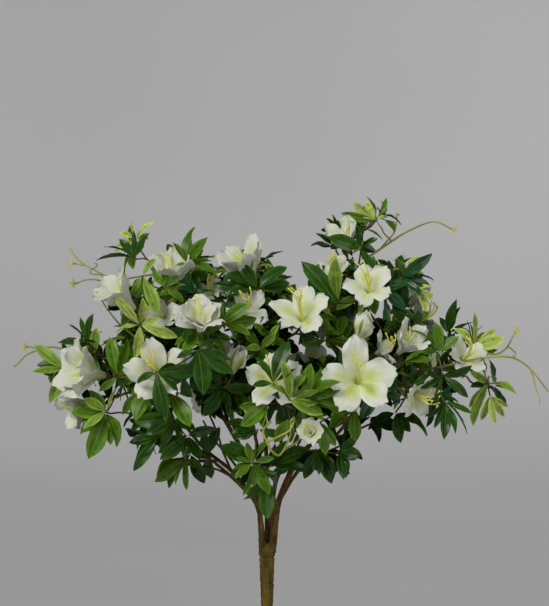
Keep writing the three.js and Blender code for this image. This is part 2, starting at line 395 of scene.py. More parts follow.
@dataclass(frozen=True)
class BarkFinish:
    """Moulded plastic with a bark grain, painted in two browns."""

    name: str
    dark: Colour
    light: Colour
    roughness: float = 0.6
    specular: float = 0.2

    def material(self) -> Material:
        """Makes the material.

        Returns:
            The material.
        """
        sheet = ShaderSheet(self.name)
        grain = sheet.noise(240, 5, (1, 1, 0.22))
        blotch = sheet.noise(46, 3)
        fleck = sheet.noise(900, 3)
        shade = grain * 0.62 + blotch * 0.38
        colour = sheet.ramp(shade, [(0.36, linear(*self.dark)), (0.64, linear(*self.light))])
        return sheet.dress(
            Base_Color=colour,
            Roughness=self.roughness - 0.12 * blotch + 0.1 * fleck,
            Specular_IOR_Level=self.specular,
            Normal=sheet.bump(grain * 0.7 + fleck * 0.3, 0.6 * MM),
        )


@dataclass(frozen=True)
class ClayFinish:
    """Unglazed fired clay with pale bloom and fine turning lines."""

    name: str = "fired_clay"
    body: Colour = (176, 104, 70)
    deep: Colour = (148, 80, 52)
    bloom: Colour = (205, 160, 132)

    def material(self) -> Material:
        """Makes the material.

        Returns:
            The material.
        """
        sheet = ShaderSheet(self.name)
        cloud = sheet.noise(14, 4)
        grit = sheet.noise(700, 3)
        lines = sheet.noise(60, 3, (0.05, 0.05, 6))
        chalk = sheet.noise(22, 6, (1, 1, 0.6), 0.7)
        stops = [(0.38, linear(*self.deep)), (0.62, linear(*self.body))]
        base = sheet.ramp(cloud * 0.7 + lines * 0.3, stops)
        veil = sheet.ramp(chalk, [(0.52, (0, 0, 0, 1)), (0.74, (0.55, 0.55, 0.55, 1))])
        return sheet.dress(
            Base_Color=sheet.mix(veil, base, linear(*self.bloom)),
            Roughness=0.78 + 0.16 * cloud,
            Normal=sheet.bump(grit * 0.55 + lines * 0.45, 0.5 * MM),
        )


@dataclass(frozen=True)
class FillFinish:
    """Set plaster coloured as earth."""

    name: str = "set_fill"
    dark: Colour = (58, 46, 36)
    light: Colour = (104, 86, 68)

    def material(self) -> Material:
        """Makes the material.

        Returns:
            The material.
        """
        sheet = ShaderSheet(self.name)
        lumps = sheet.noise(150, 6)
        grit = sheet.noise(1100, 3)
        stops = [(0.36, linear(*self.dark)), (0.66, linear(*self.light))]
        return sheet.dress(
            Base_Color=sheet.ramp(lumps * 0.6 + grit * 0.4, stops),
            Roughness=0.86 + 0.1 * grit,
            Normal=sheet.bump(lumps * 0.5 + grit * 0.5, 1.2 * MM),
        )


@dataclass(frozen=True)
class ChipFinish:
    """Bark chips in browns that change from chip to chip."""

    name: str = "bark_chips"
    dark: Colour = (62, 42, 28)
    middle: Colour = (104, 68, 44)
    light: Colour = (150, 112, 78)

    def material(self) -> Material:
        """Makes the material.

        Returns:
            The material.
        """
        sheet = ShaderSheet(self.name)
        from_chip_to_chip = sheet.noise(95, 1)
        grain = sheet.noise(900, 4, (1, 0.3, 1))
        stops = [(0.36, linear(*self.dark)), (0.64, linear(*self.light)), (0.5, linear(*self.middle))]
        colour = sheet.ramp(from_chip_to_chip * 0.8 + grain * 0.2, stops)
        return sheet.dress(Base_Color=colour, Roughness=0.8 + 0.1 * grain, Normal=sheet.bump(grain, 0.5 * MM))


@dataclass(frozen=True)
class VineFinish:
    """Moulded yellow-green plastic of the tendrils and stamens."""

    name: str
    dark: Colour
    light: Colour
    roughness: float = 0.42

    def material(self) -> Material:
        """Makes the material.

        Returns:
            The material.
        """
        sheet = ShaderSheet(self.name)
        run = sheet.noise(42, 2)
        colour = sheet.ramp(run, [(0.38, linear(*self.dark)), (0.62, linear(*self.light))])
        return sheet.dress(Base_Color=colour, Roughness=self.roughness + 0.1 * run)


@dataclass(frozen=True)
class StageFinish:
    """Matt studio paper."""

    name: str = "studio_paper"
    grey: int = 196
    unevenness: int = 4

    def material(self) -> Material:
        """Makes the material.

        Returns:
            The material.
        """
        sheet = ShaderSheet(self.name)
        cloud = sheet.noise(0.5, 2)
        low, high = (linear(*[self.grey + change] * 3) for change in (-self.unevenness, self.unevenness))
        return sheet.dress(Base_Color=sheet.ramp(cloud, [(0.3, low), (0.7, high)]), Roughness=0.95)


# --- Meshes ---


class MeshBag:
    """Gathers many small sheets of quads and joins them into one mesh."""

    def __init__(self) -> None:
        """Starts empty."""
        self.points: list[Array] = []
        self.faces: list[Array] = []
        self.slots: list[Array] = []
        self.count = 0

    def add(self, points: Array, faces: Array, slots: Array) -> None:
        """Adds one sheet.

        Args:
            points: Its points, in metres.
            faces: Four point numbers for each face.
            slots: The material slot of each face.
        """
        self.points.append(points)
        self.faces.append(faces + self.count)
        self.slots.append(slots)
        self.count += len(points)

    def build(self, name: str, materials: Iterable[Material]) -> Object:
        """Joins everything into one smooth shaded object at the origin.

        Args:
            name: The object's name.
            materials: The materials, in the order of the slot numbers.

        Returns:
            The object, linked to the scene.
        """
        points = np.concatenate(self.points).astype(np.float32)
        faces = np.concatenate(self.faces).astype(np.int32)
        mesh = bpy.data.meshes.new(name)
        mesh.vertices.add(len(points))
        mesh.vertices.foreach_set("co", points.ravel())
        mesh.loops.add(faces.size)
        mesh.loops.foreach_set("vertex_index", faces.ravel())
        mesh.polygons.add(len(faces))
        mesh.polygons.foreach_set("loop_start", np.arange(0, faces.size, 4, dtype=np.int32))
        mesh.polygons.foreach_set("material_index", np.concatenate(self.slots).astype(np.int32))
        mesh.polygons.foreach_set("use_smooth", np.ones(len(faces), bool))
        for material in materials:
            mesh.materials.append(material)
        mesh.update(calc_edges=True)
        mesh.validate()
        return linked(name, mesh)


def grid_faces(rows: int, columns: int) -> Array:
    """The faces of a sheet of rows by columns points, its front side towards row x column."""
    r, c = np.meshgrid(np.arange(rows - 1), np.arange(columns - 1), indexing="ij")
    a = (r * columns + c).ravel()
    return np.stack([a, a + columns, a + columns + 1, a + 1], axis=1)


def turned_mesh(name: str, profile: Sequence[Pair], sides: int) -> Object:
    """A closed turned solid.

    Args:
        name: The object's name.
        profile: Radius and height from the axis, round the outside and back to the axis, in metres.
        sides: How many sides the turning has.

    Returns:
        The object, linked to the scene.
    """
    inner = profile[1:-1]
    turns = np.linspace(0, 2 * pi, sides, endpoint=False)
    points = [(r * cos(t), r * sin(t), z) for r, z in inner for t in turns]
    points += [(0, 0, profile[0][1]), (0, 0, profile[-1][1])]
    first, last = len(points) - 2, len(points) - 1
    faces: list[tuple[int, ...]] = []
    for ring in range(len(inner) - 1):
        for side in range(sides):
            following = (side + 1) % sides
            low, high = ring * sides, (ring + 1) * sides
            faces.append((low + side, low + following, high + following, high + side))
    top = (len(inner) - 1) * sides
    for side in range(sides):
        following = (side + 1) % sides
        faces.append((first, following, side))
        faces.append((last, top + side, top + following))
    mesh = bpy.data.meshes.new(name)
    mesh.from_pydata(points, [], faces)
    mesh.polygons.foreach_set("use_smooth", np.ones(len(faces), bool))
    mesh.update()
    return linked(name, mesh)


def seat(piece: Object, nodes: Sequence[str] = ()) -> None:
    """Ties a finished piece to the frame.

    Args:
        piece: The piece.
        nodes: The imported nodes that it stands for.
    """
    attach(piece, BODY)
    if nodes:
        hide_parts(*nodes)
    LOG.info("%s: %d faces", piece.name, len(piece.data.polygons))


# --- Rods: twigs, tendrils and stamens along their paths, by Geometry Nodes ---


@dataclass
class Rod:
    """A thin round rod: points in metres and the radius at each."""

    path: Array
    radii: Array


class RodMaker:
    """Sweeps a round section along many paths with one node tree, its sides and finish given."""

    def __init__(self) -> None:
        """Builds the node tree."""
        kinds = {"Paths": "Geometry", "Sides": "Int", "Finish": "Material"}
        sheet = GeometrySheet("rods_along_paths", kinds)
        sides = {"Resolution": sheet.given("Sides"), "Radius": 1.0}
        section = sheet.node("GeometryNodeCurvePrimitiveCircle", {}, sides)
        gauge = sheet.node("GeometryNodeInputRadius", {}, {})
        sockets = {"Curve": sheet.given("Paths"), "Profile Curve": section, "Scale": gauge, "Fill Caps": True}
        sweep = sheet.node("GeometryNodeCurveToMesh", {}, sockets)
        sheet.hand_out(sheet.node("GeometryNodeSetShadeSmooth", {}, {"Geometry": sweep}))
        self.sheet = sheet

    def build(self, name: str, rods: Sequence[Rod], sides: int, material: Material) -> Object:
        """Makes one plain mesh of all rods.

        Args:
            name: The object's name.
            rods: The rods.
            sides: How many sides a rod's section has.
            material: Its material.

        Returns:
            The object, linked to the scene.
        """
        curve = bpy.data.curves.new(name + "_paths", "CURVE")
        curve.dimensions = "3D"
        for rod in rods:
            line = curve.splines.new("POLY")
            line.points.add(len(rod.path) - 1)
            line.points.foreach_set("co", np.c_[rod.path, np.ones(len(rod.path))].ravel())
            line.points.foreach_set("radius", rod.radii)
        carrier = linked(name + "_paths", curve)
        return self.sheet.run(carrier, name, {"Sides": sides, "Finish": material})


# --- Leaves ---


class Tone(Enum):
    """The dyes of the leaf cloth, from the heart of the bush, whose darkest dye is painted shade, to its new
    tips.
    """

    # Nearly black: painted shade for the leaves in the heart of the bush
    PAINTED_SHADE = "deep"
    DARK = "dark"
    TEAL = "teal"
    MID = "mid"
    FRESH = "fresh"
    LIME = "lime"


@dataclass(frozen=True)
class LeafDye:
    """The colours of one tone.

    Attributes:
        blade: Beside the midrib.
        edge: Along the margins.
        rib: The midrib.
        roughness: How matt it is.
        specular: How much light its face mirrors.
        coat: How strong its waxed gloss is.
    """

    blade: Colour
    edge: Colour
    rib: Colour
    roughness: float
    specular: float
    coat: float


DYES = {
    # The first dye is painted shade, the others are the cloth's own greens
    Tone.PAINTED_SHADE: LeafDye((11, 32, 0), (16, 40, 2), (30, 54, 10), 0.56, 0.05, 0.05),
    Tone.DARK: LeafDye((34, 70, 3), (44, 84, 6), (68, 108, 24), 0.46, 0.1, 0.36),
    Tone.TEAL: LeafDye((22, 68, 26), (30, 80, 34), (54, 102, 54), 0.42, 0.12, 0.5),
    Tone.MID: LeafDye((72, 110, 14), (88, 126, 24), (114, 146, 50), 0.46, 0.14, 0.2),
    Tone.FRESH: LeafDye((112, 146, 42), (140, 170, 66), (150, 176, 80), 0.5, 0.2, 0.08),
    Tone.LIME: LeafDye((160, 182, 78), (184, 200, 104), (190, 202, 118), 0.55, 0.2, 0.0),
}

# How light each shade of a dye is, next to the dye itself
SHADES = (0.78, 0.89, 1.0, 1.11, 1.22)
BLADE_PART, EDGE_PART, RIB_PART = range(3)
CLOTHS_PER_TONE = 2 * len(SHADES) + 1


@dataclass
class LeafPress:
    """Cuts and presses cloth leaves: pointed ovals folded along a pale midrib, with side veins.

    Attributes:
        width: A leaf's width for a length of one.
        rib_width: The width of its midrib.
        fold: How deep it is folded along the midrib.
        vein_depth: How deep its side veins are pressed.
        oval: How fast it widens at its foot and narrows at its tip, and its width before scaling.
        rows: How many rows of points it has.
        variants: How many different leaves are pressed.
        across: Where the points of a row lie, from margin to margin. The two middle ones edge the rib.
    """

    width: float = 0.42
    rib_width: float = 0.03
    fold: float = 0.56
    vein_depth: float = 0.012
    oval: tuple[float, float, float] = (0.92, 0.98, 0.2682)
    rows: int = 10
    variants: int = 16
    across: tuple[float, ...] = (-1.0, -0.55, 0.0, 0.0, 0.55, 1.0)
    shapes: list[Array] = field(default_factory=list)

    def __post_init__(self) -> None:
        """Presses the variants."""
        rng = Random(Seed.LEAVES)
        self.faces = grid_faces(self.rows, len(self.across))
        self.parts = np.tile([EDGE_PART, BLADE_PART, RIB_PART, BLADE_PART, EDGE_PART], self.rows - 1)
        self.shapes = [self.press(rng) for _ in range(self.variants)]
        self.mottles = [self.mottle(rng) for _ in range(self.variants)]

    def mottle(self, rng: Random) -> Array:
        """How many shades lighter or darker each face of a leaf is dyed."""
        picked = []
        for row in range(self.rows - 1):
            tip = 1 if row > 0.7 * self.rows else 0
            picked += [tip + rng.choice((-1, 0, 0, 0, 0, 1)) for _ in self.across[1:]]
        return np.array(picked)

    def press(self, rng: Random) -> Array:
        """One leaf of length one along X, its upper side towards Z.

        Args:
            rng: The random source of its bend, twist and waves.

        Returns:
            Its points, row by row from stalk to tip.
        """
        arch = rng.uniform(0.02, 0.56)
        twist = rng.uniform(-0.7, 0.7)
        wave, phase = rng.uniform(0.01, 0.035), rng.uniform(0, 6.3)
        sway = rng.uniform(-0.07, 0.07)
        fold = self.fold * rng.uniform(0.5, 1.4)
        foot, tip, widest = self.oval
        points = []
        for row in range(self.rows):
            u = row / (self.rows - 1)
            shape = u**foot * (1 - u) ** tip / widest
            half = self.width / 2 * max(shape, 0.05 * (1 - u) + 0.012)
            rib = min(self.rib_width / 2 * (1 - 0.75 * u), half * 0.5)
            vein = self.vein_depth * (1 if row % 2 else -1) * sin(pi * u)
            turn = twist * u
            for column, v in enumerate(self.across):
                side = v * half
                if column in (2, 3):
                    side = rib if column == 3 else -rib
                lift = fold * abs(side) - 0.55 * fold * abs(v) ** 2 * half
                lift += wave * v * abs(v) * sin(9 * u + phase)
                lift += vein * (0.0 if column in (2, 3) else 1 - 0.35 * abs(v))
                ahead = 0.075 * abs(v) * sin(pi * u)
                y = side * cos(turn) - lift * sin(turn)
                z = side * sin(turn) + lift * cos(turn)
                x = u + ahead - 0.25 * arch**2 * u**2
                points.append((x, y + sway * u * u, z - arch * u * u + 0.22 * arch * u))
        return np.array(points)

    def lay(
        self, base: Array, along: Array, upper: Array, length: float, tone: Tone, rng: Random, broad: float
    ) -> tuple[Array, Array]:
        """Lays out one leaf.

        Args:
            base: Where its stalk starts.
            along: The way that it points.
            upper: The way that its upper side faces.
            length: Its length in metres.
            tone: Its dye.
            rng: The random source that picks its variant.
            broad: Its width as a share of the usual one.

        Returns:
            Its points and the material slot of each of its faces.
        """
        lift = square_to(upper, along)
        side = np.cross(lift, along)
        shape = self.shapes[rng.randrange(self.variants)] * length
        spread = broad * rng.uniform(0.8, 1.1)
        points = base + shape[:, :1] * along + shape[:, 1:2] * spread * side + shape[:, 2:] * lift
        mottle = rng.choice((1, 2, 2, 3)) + self.mottles[rng.randrange(self.variants)]
        shades = np.clip(mottle, 0, len(SHADES) - 1)
        slots = np.where(self.parts == RIB_PART, CLOTHS_PER_TONE - 1, 2 * shades + self.parts)
        return points, slots + CLOTHS_PER_TONE * list(Tone).index(tone)

    @staticmethod
    def materials() -> list[Material]:
        """Makes the leaf cloths in slot order.

        Returns:
            For every tone, blade and edge in each shade, then the rib.
        """
        made = []
        for tone, dye in DYES.items():
            cloths: list[tuple[str, Colour, float]] = []
            for number, shade in enumerate(SHADES):
                cloths.append((f"{number}_blade", dye.blade, shade))
                cloths.append((f"{number}_edge", dye.edge, shade))
            for part, colour, shade in (*cloths, ("rib", dye.rib, 1.0)):
                name = f"leaf_{tone.value}_{part}"
                dyed = tuple(min(255, round(channel * shade)) for channel in colour)
                finish = ClothFinish(name, dyed, dye.roughness, dye.specular, 0.0, dye.coat)
                made.append(finish.material())
        return made


# --- Blooms ---


class Form(Enum):
    """How a bloom is made up."""

    OPEN = "open"
    CUP = "cup"
    HALF = "half"
    FAN = "fan"
    DOUBLE = "double"
    SMALL = "small"
    BUD = "bud"


@dataclass(frozen=True)
class Bloom:
    """One bloom: its middle and the way it faces.

    Attributes:
        at: The middle of the bloom, in millimetres.
        turn: Degrees to the right that it faces.
        rise: Degrees up that it faces.
        size: Its width, in millimetres.
        form: How it is made up.
        blush: How strong its yellow-green throat is, from 0 to 1.
        roll: Degrees that it is rolled about its own axis.
    """

    at: Point
    turn: float
    rise: float
    size: float
    form: Form = Form.OPEN
    blush: float = 0.6
    roll: float = 0.0


@dataclass(frozen=True)
class PetalRing:
    """One ring of petals.

    Attributes:
        count: How many petals it has.
        spread: How far they open, from 0, upright, to 1, flat.
        width: How wide they are, as a share of the bloom's width.
        reach: How long they are.
        ruffle: How wavy their edges are.
        offset: Degrees that the ring is turned against the bloom.
    """

    count: int
    spread: float
    width: float
    reach: float
    ruffle: float
    offset: float = 0.0


# The petals of each form, and how far its foot lies behind its middle as a share of its width
BLOOM_RINGS = {
    Form.OPEN: ((PetalRing(5, 0.84, 0.3, 0.55, 0.03),), 0.25),
    Form.CUP: ((PetalRing(6, 0.44, 0.4, 0.72, 0.026), PetalRing(3, 0.22, 0.36, 0.62, 0.026, 36.0)), 0.3),
    Form.HALF: ((PetalRing(5, 0.28, 0.33, 0.66, 0.03),), 0.34),
    Form.FAN: ((PetalRing(6, 0.27, 0.31, 0.68, 0.026),), 0.34),
    Form.DOUBLE: ((PetalRing(5, 0.58, 0.38, 0.56, 0.03), PetalRing(3, 0.26, 0.34, 0.52, 0.03, 36.0)), 0.3),
    Form.SMALL: ((PetalRing(4, 0.5, 0.5, 0.56, 0.02), PetalRing(3, 0.14, 0.3, 0.34, 0.012, 40.0)), 0.3),
    Form.BUD: ((PetalRing(4, 0.0, 0.27, 0.66, 0.02), PetalRing(2, 0.14, 0.3, 0.56, 0.024, 50.0)), 0.3),
}

PETAL_WHITE = (221, 224, 207)
PETAL_BLUSH = (213, 220, 154)
PETAL_THROAT = (188, 202, 94)
PETAL_STEPS = 9


def petal_dyes() -> list[Material]:
    """Silk dyes from the white rim, over the pale blush, to the yellow-green throat.

    Returns:
        A material for each step.
    """
    made = []
    for step in range(PETAL_STEPS):
        share = 2 * step / (PETAL_STEPS - 1)
        low, high = (PETAL_WHITE, PETAL_BLUSH) if share <= 1 else (PETAL_BLUSH, PETAL_THROAT)
        part = share if share <= 1 else share - 1
        colour = tuple(round(blend(a, b, part)) for a, b in zip(low, high))
        made.append(ClothFinish(f"petal_{step}", colour, 0.6, 0.25, 0.5).material())
    return made


@dataclass
class BloomMaker:
    """Makes silk blooms: rings of wavy petals on a funnel, with stamens and a calyx.

    Attributes:
        rows: Rows of faces along a petal.
        columns: Columns of faces across a petal.
        neck: The share of a petal's length that is joined in the funnel.
        widest: Where along its free part a petal is widest.
        joined: How much of the funnel's ring one petal covers.
        hooded_stamens: How many stamens show in a bloom that isn't wide open.
    """

    rows: int = 20
    columns: int = 14
    neck: float = 0.2
    widest: float = 0.64
    joined: float = 0.8
    hooded_stamens: int = 3
    petals: MeshBag = field(default_factory=MeshBag)
    filaments: list[Rod] = field(default_factory=list)
    anthers: list[Rod] = field(default_factory=list)
    cups: list[Rod] = field(default_factory=list)

    def __post_init__(self) -> None:
        """Prepares the petal's faces."""
        self.faces = grid_faces(self.rows + 1, self.columns + 1)

    def petal(self, ring: PetalRing, reach: float, rng: Random) -> Array:
        """One petal of a bloom of width one, with the bloom's axis along Z and the petal along X.

        Args:
            ring: The ring that it belongs to.
            reach: How long it is.
            rng: The random source of its waves.

        Returns:
            Its points, row by row from the foot of the funnel to the tip.
        """
        phase, pitch = rng.uniform(0, 6.3), rng.uniform(5.0, 8.0)
        other, twist = rng.uniform(0, 6.3), rng.uniform(-0.35, 0.35)
        tip_curl, cup = rng.uniform(-0.2, 0.75), rng.uniform(-0.35, 0.3)
        sway = rng.uniform(-0.04, 0.04)
        spread = ring.spread * rng.uniform(0.86, 1.1)
        width = ring.width * rng.uniform(0.92, 1.12)
        step = reach / self.rows
        r, h = 0.004, 0.0
        points = []
        for row in range(self.rows + 1):
            # The middle line climbs out of the funnel and leans outwards
            u = row / self.rows
            limb = max(0.0, (u - self.neck) / (1 - self.neck))
            lean = 0.24 + spread * (1.3 * limb**0.5) + 0.45 * tip_curl * (0.35 + spread) * limb**4
            lean -= 0.55 * max(0.0, 1 - 5 * spread) * limb
            if row:
                down = 1.45 if row == 1 else lean
                r += sin(down) * step
                h += cos(down) * step
            # The outline widens from its share of the funnel and rounds off at the tip
            if limb < self.widest:
                share = sin(pi / 2 * limb / self.widest)
                half = r * self.joined * (1 - share) + width * 0.5 * share
            else:
                share = (limb - self.widest) / (1 - self.widest)
                half = width * 0.5 * (1 - 0.52 * share**2.6)
            half *= 1 + 0.05 * limb * sin(8 * u + phase)
            flat = min(1.0, limb * 1.8)
            # Across it, the funnel's curve gives way to a flat face with waves, a crease and wrinkles
            for column in range(self.columns + 1):
                v = 2 * column / self.columns - 1
                around = v * half / r
                x = r * cos(around) * (1 - flat) + r * flat
                y = r * sin(around) * (1 - flat) + v * half * flat + sway * limb * limb
                edge = max(abs(v) ** 1.5, 0.7 * limb**6) * limb
                ripple = sin(2 * pitch * u + phase + 1.6 * v) + 0.35 * sin(13 * u + other + v)
                ripple += 0.6 * limb**4 * sin(4.5 * v + other)
                crease = -0.022 * exp(-((v / 0.2) ** 2)) * limb * (1.1 - limb)
                wrinkle = 0.0045 * sin(13 * v + phase) + 0.004 * sin(19 * v + 6 * u + other)
                lift = self.relief(ring.ruffle, edge * ripple) + crease + limb * wrinkle
                lift += (cup * v * v + twist * v * limb) * half
                back = 0.13 * width * limb**4 * v * v + 0.014 * limb**6 * sin(6 * v + other)
                x += -cos(lean) * lift - sin(lean) * back
                points.append((x, y, h + sin(lean) * lift - cos(lean) * back))
        return np.array(points)

    @staticmethod
    def relief(ruffle: float, wave: float) -> float:
        """How far a wave of the petal's edge stands off, with crests fuller than dips."""
        return ruffle * (wave + 0.25 * wave * wave)

    def zones(self, blush: float, rng: Random) -> Array:
        """The dye of each face of a petal: white rims, with a yellow-green blush from the throat.

        Args:
            blush: How strong the blush is.
            rng: The random source of where it lies.

        Returns:
            The number of each face's dye.
        """
        middle, drift = rng.uniform(0.44, 0.56), rng.uniform(-0.15, 0.15)
        cloud = rng.uniform(0, 6.3)
        picked = []
        for row in range(self.rows):
            u = (row + 0.5) / self.rows
            for column in range(self.columns):
                v = 2 * (column + 0.5) / self.columns - 1 + drift
                throat = max(0.0, 1 - u / 0.4)
                flush = exp(-(((u - middle) / 0.2) ** 2)) * exp(-((v / 0.55) ** 2))
                vein = exp(-((v / 0.16) ** 2)) * exp(-(((u - 0.6) / 0.25) ** 2))
                uneven = 1 + 0.3 * sin(9 * u + cloud) * cos(6 * v + cloud)
                level = blush * (0.9 * throat + 0.72 * flush * uneven + 0.18 * vein) + 0.1 * throat
                picked.append(min(PETAL_STEPS - 1, max(0, int(level * PETAL_STEPS))))
        return np.array(picked)

    def bloom(self, plan: Bloom, rng: Random) -> tuple[Array, Array]:
        """Makes one bloom.

        Args:
            plan: What it is like.
            rng: The random source of its petals.

        Returns:
            The foot of its calyx and the direction of its axis.
        """
        axis = facing(plan.turn, plan.rise)
        size = plan.size * MM
        rings, depth = BLOOM_RINGS[plan.form]
        foot = np.array(plan.at) * MM - axis * size * depth
        first = square_to(UP if abs(axis[2]) < 0.9 else BACK, axis)
        second = np.cross(axis, first)
        for ring in rings:
            for number in range(ring.count):
                turn = plan.roll + ring.offset + 360 * number / ring.count
                angle = radians(turn + rng.uniform(-11, 11))
                out = cos(angle) * first + sin(angle) * second
                side = np.cross(axis, out)
                local = self.petal(ring, ring.reach * rng.uniform(0.94, 1.06), rng)
                points = foot + size * (local[:, :1] * out + local[:, 1:2] * side + local[:, 2:] * axis)
                self.petals.add(points, self.faces, self.zones(plan.blush * rng.uniform(0.45, 1.4), rng))
        if plan.form not in (Form.SMALL, Form.BUD):
            self.stamens(foot, axis, first, size, plan, rng)
        self.calyx(foot, axis, size)
        return foot - axis * 8 * MM, axis

    def stamens(
        self, foot: Array, axis: Array, up: Array, size: float, plan: Bloom, rng: Random
    ) -> None:
        """Adds the curled stamens that stand out of the throat.

        Args:
            foot: The foot of the petals.
            axis: The bloom's axis.
            up: A direction square to it.
            size: The bloom's width, in metres.
            plan: What the bloom is like.
            rng: The random source of their places and curls.
        """
        side = np.cross(axis, up)
        bias = radians(plan.roll) + rng.uniform(-0.6, 0.6)
        lean = cos(bias) * up + sin(bias) * side
        whole = plan.form is Form.OPEN
        steps = 10
        for number in range(rng.randint(5, 7)):
            turn = rng.uniform(0, 2 * pi)
            off = cos(turn) * up + sin(turn) * side
            start = foot + axis * size * 0.12 + off * size * 0.015
            reach = rng.uniform(0.4, 0.62) * (1.0 if whole else 0.88)
            tip = foot + (axis * reach + lean * 0.14 + off * rng.uniform(0.04, 0.13)) * size
            curl = unit(axis * 0.1 + lean * 0.8 + off * 0.5)
            if number >= self.hooded_stamens and not whole:
                continue
            path = bent_path(start, axis * size * 0.22, tip, curl * size * 0.16, steps)
            self.filaments.append(Rod(path, np.linspace(0.66, 0.48, steps) * MM))
            end = np.array([tip, tip + curl * 0.9 * MM, tip + curl * 2.2 * MM, tip + curl * 2.9 * MM])
            self.anthers.append(Rod(end, np.array([0.48, 0.85, 0.8, 0.3]) * MM))

    def calyx(self, foot: Array, axis: Array, size: float) -> None:
        """Adds the small cup that the petals stand in, drawn for a bloom 70 mm wide."""
        scale = size / 0.07
        reach = np.array([-8.0, -7.0, -4.5, -2.0, 0.0]) * MM * scale
        radii = np.array([0.9, 1.5, 2.3, 3.0, 2.6]) * MM * scale
        self.cups.append(Rod(foot + reach[:, None] * axis, radii))


# --- The branching rule ---


@dataclass
class Growth:
    """Grows twigs from what is there already: each new twig leaves the limb that reaches it best."""

    rng: Random
    places: list[Array] = field(default_factory=list)
    headings: list[Array] = field(default_factory=list)
    gauges: list[float] = field(default_factory=list)
    twigs: list[Rod] = field(default_factory=list)

    def learn(self, path: Array, radii: Array) -> None:
        """Notes a limb's points as places that twigs can leave from."""
        for number in range(1, len(path)):
            self.places.append(path[number])
            self.headings.append(unit(path[number] - path[number - 1]))
            self.gauges.append(float(radii[number]))

    def grow(self, end: Array, arrive: Array, gauge: float, tip: float) -> None:
        """Grows one twig to an end point.

        Args:
            end: Where it ends.
            arrive: The direction in which it arrives.
            gauge: Its radius at the root, at most that of what it leaves.
            tip: Its radius at the tip.
        """
        places = np.array(self.places)
        away = end - places
        length = np.linalg.norm(away, axis=1)
        forward = np.einsum("ij,ij->i", away, np.array(self.headings)) / np.maximum(length, 1e-6)
        slack = 1 + 0.7 * (1 - forward) + np.where(length < 9 * MM, 4.0, 0.0)
        best = int(np.argmin(length * slack + 4 * MM))
        start, span = places[best], float(length[best])
        leave = unit(self.headings[best] * 0.6 + unit(end - start)) * span * 0.34
        path = bent_path(start, leave, end, arrive * span * 0.34, max(5, min(14, int(span / (6 * MM)))))
        sway = np.array([self.rng.uniform(-1, 1) for _ in range(3)]) * span * 0.035
        path[1:-1] += sway * np.sin(np.linspace(0, 2 * pi, len(path)))[1:-1, None]
        root = min(gauge, self.gauges[best] * 0.95)
        radii = np.linspace(root, min(tip, root), len(path))
        self.twigs.append(Rod(path, radii))
        self.learn(path, radii)


# --- Stem, boughs and tendrils ---


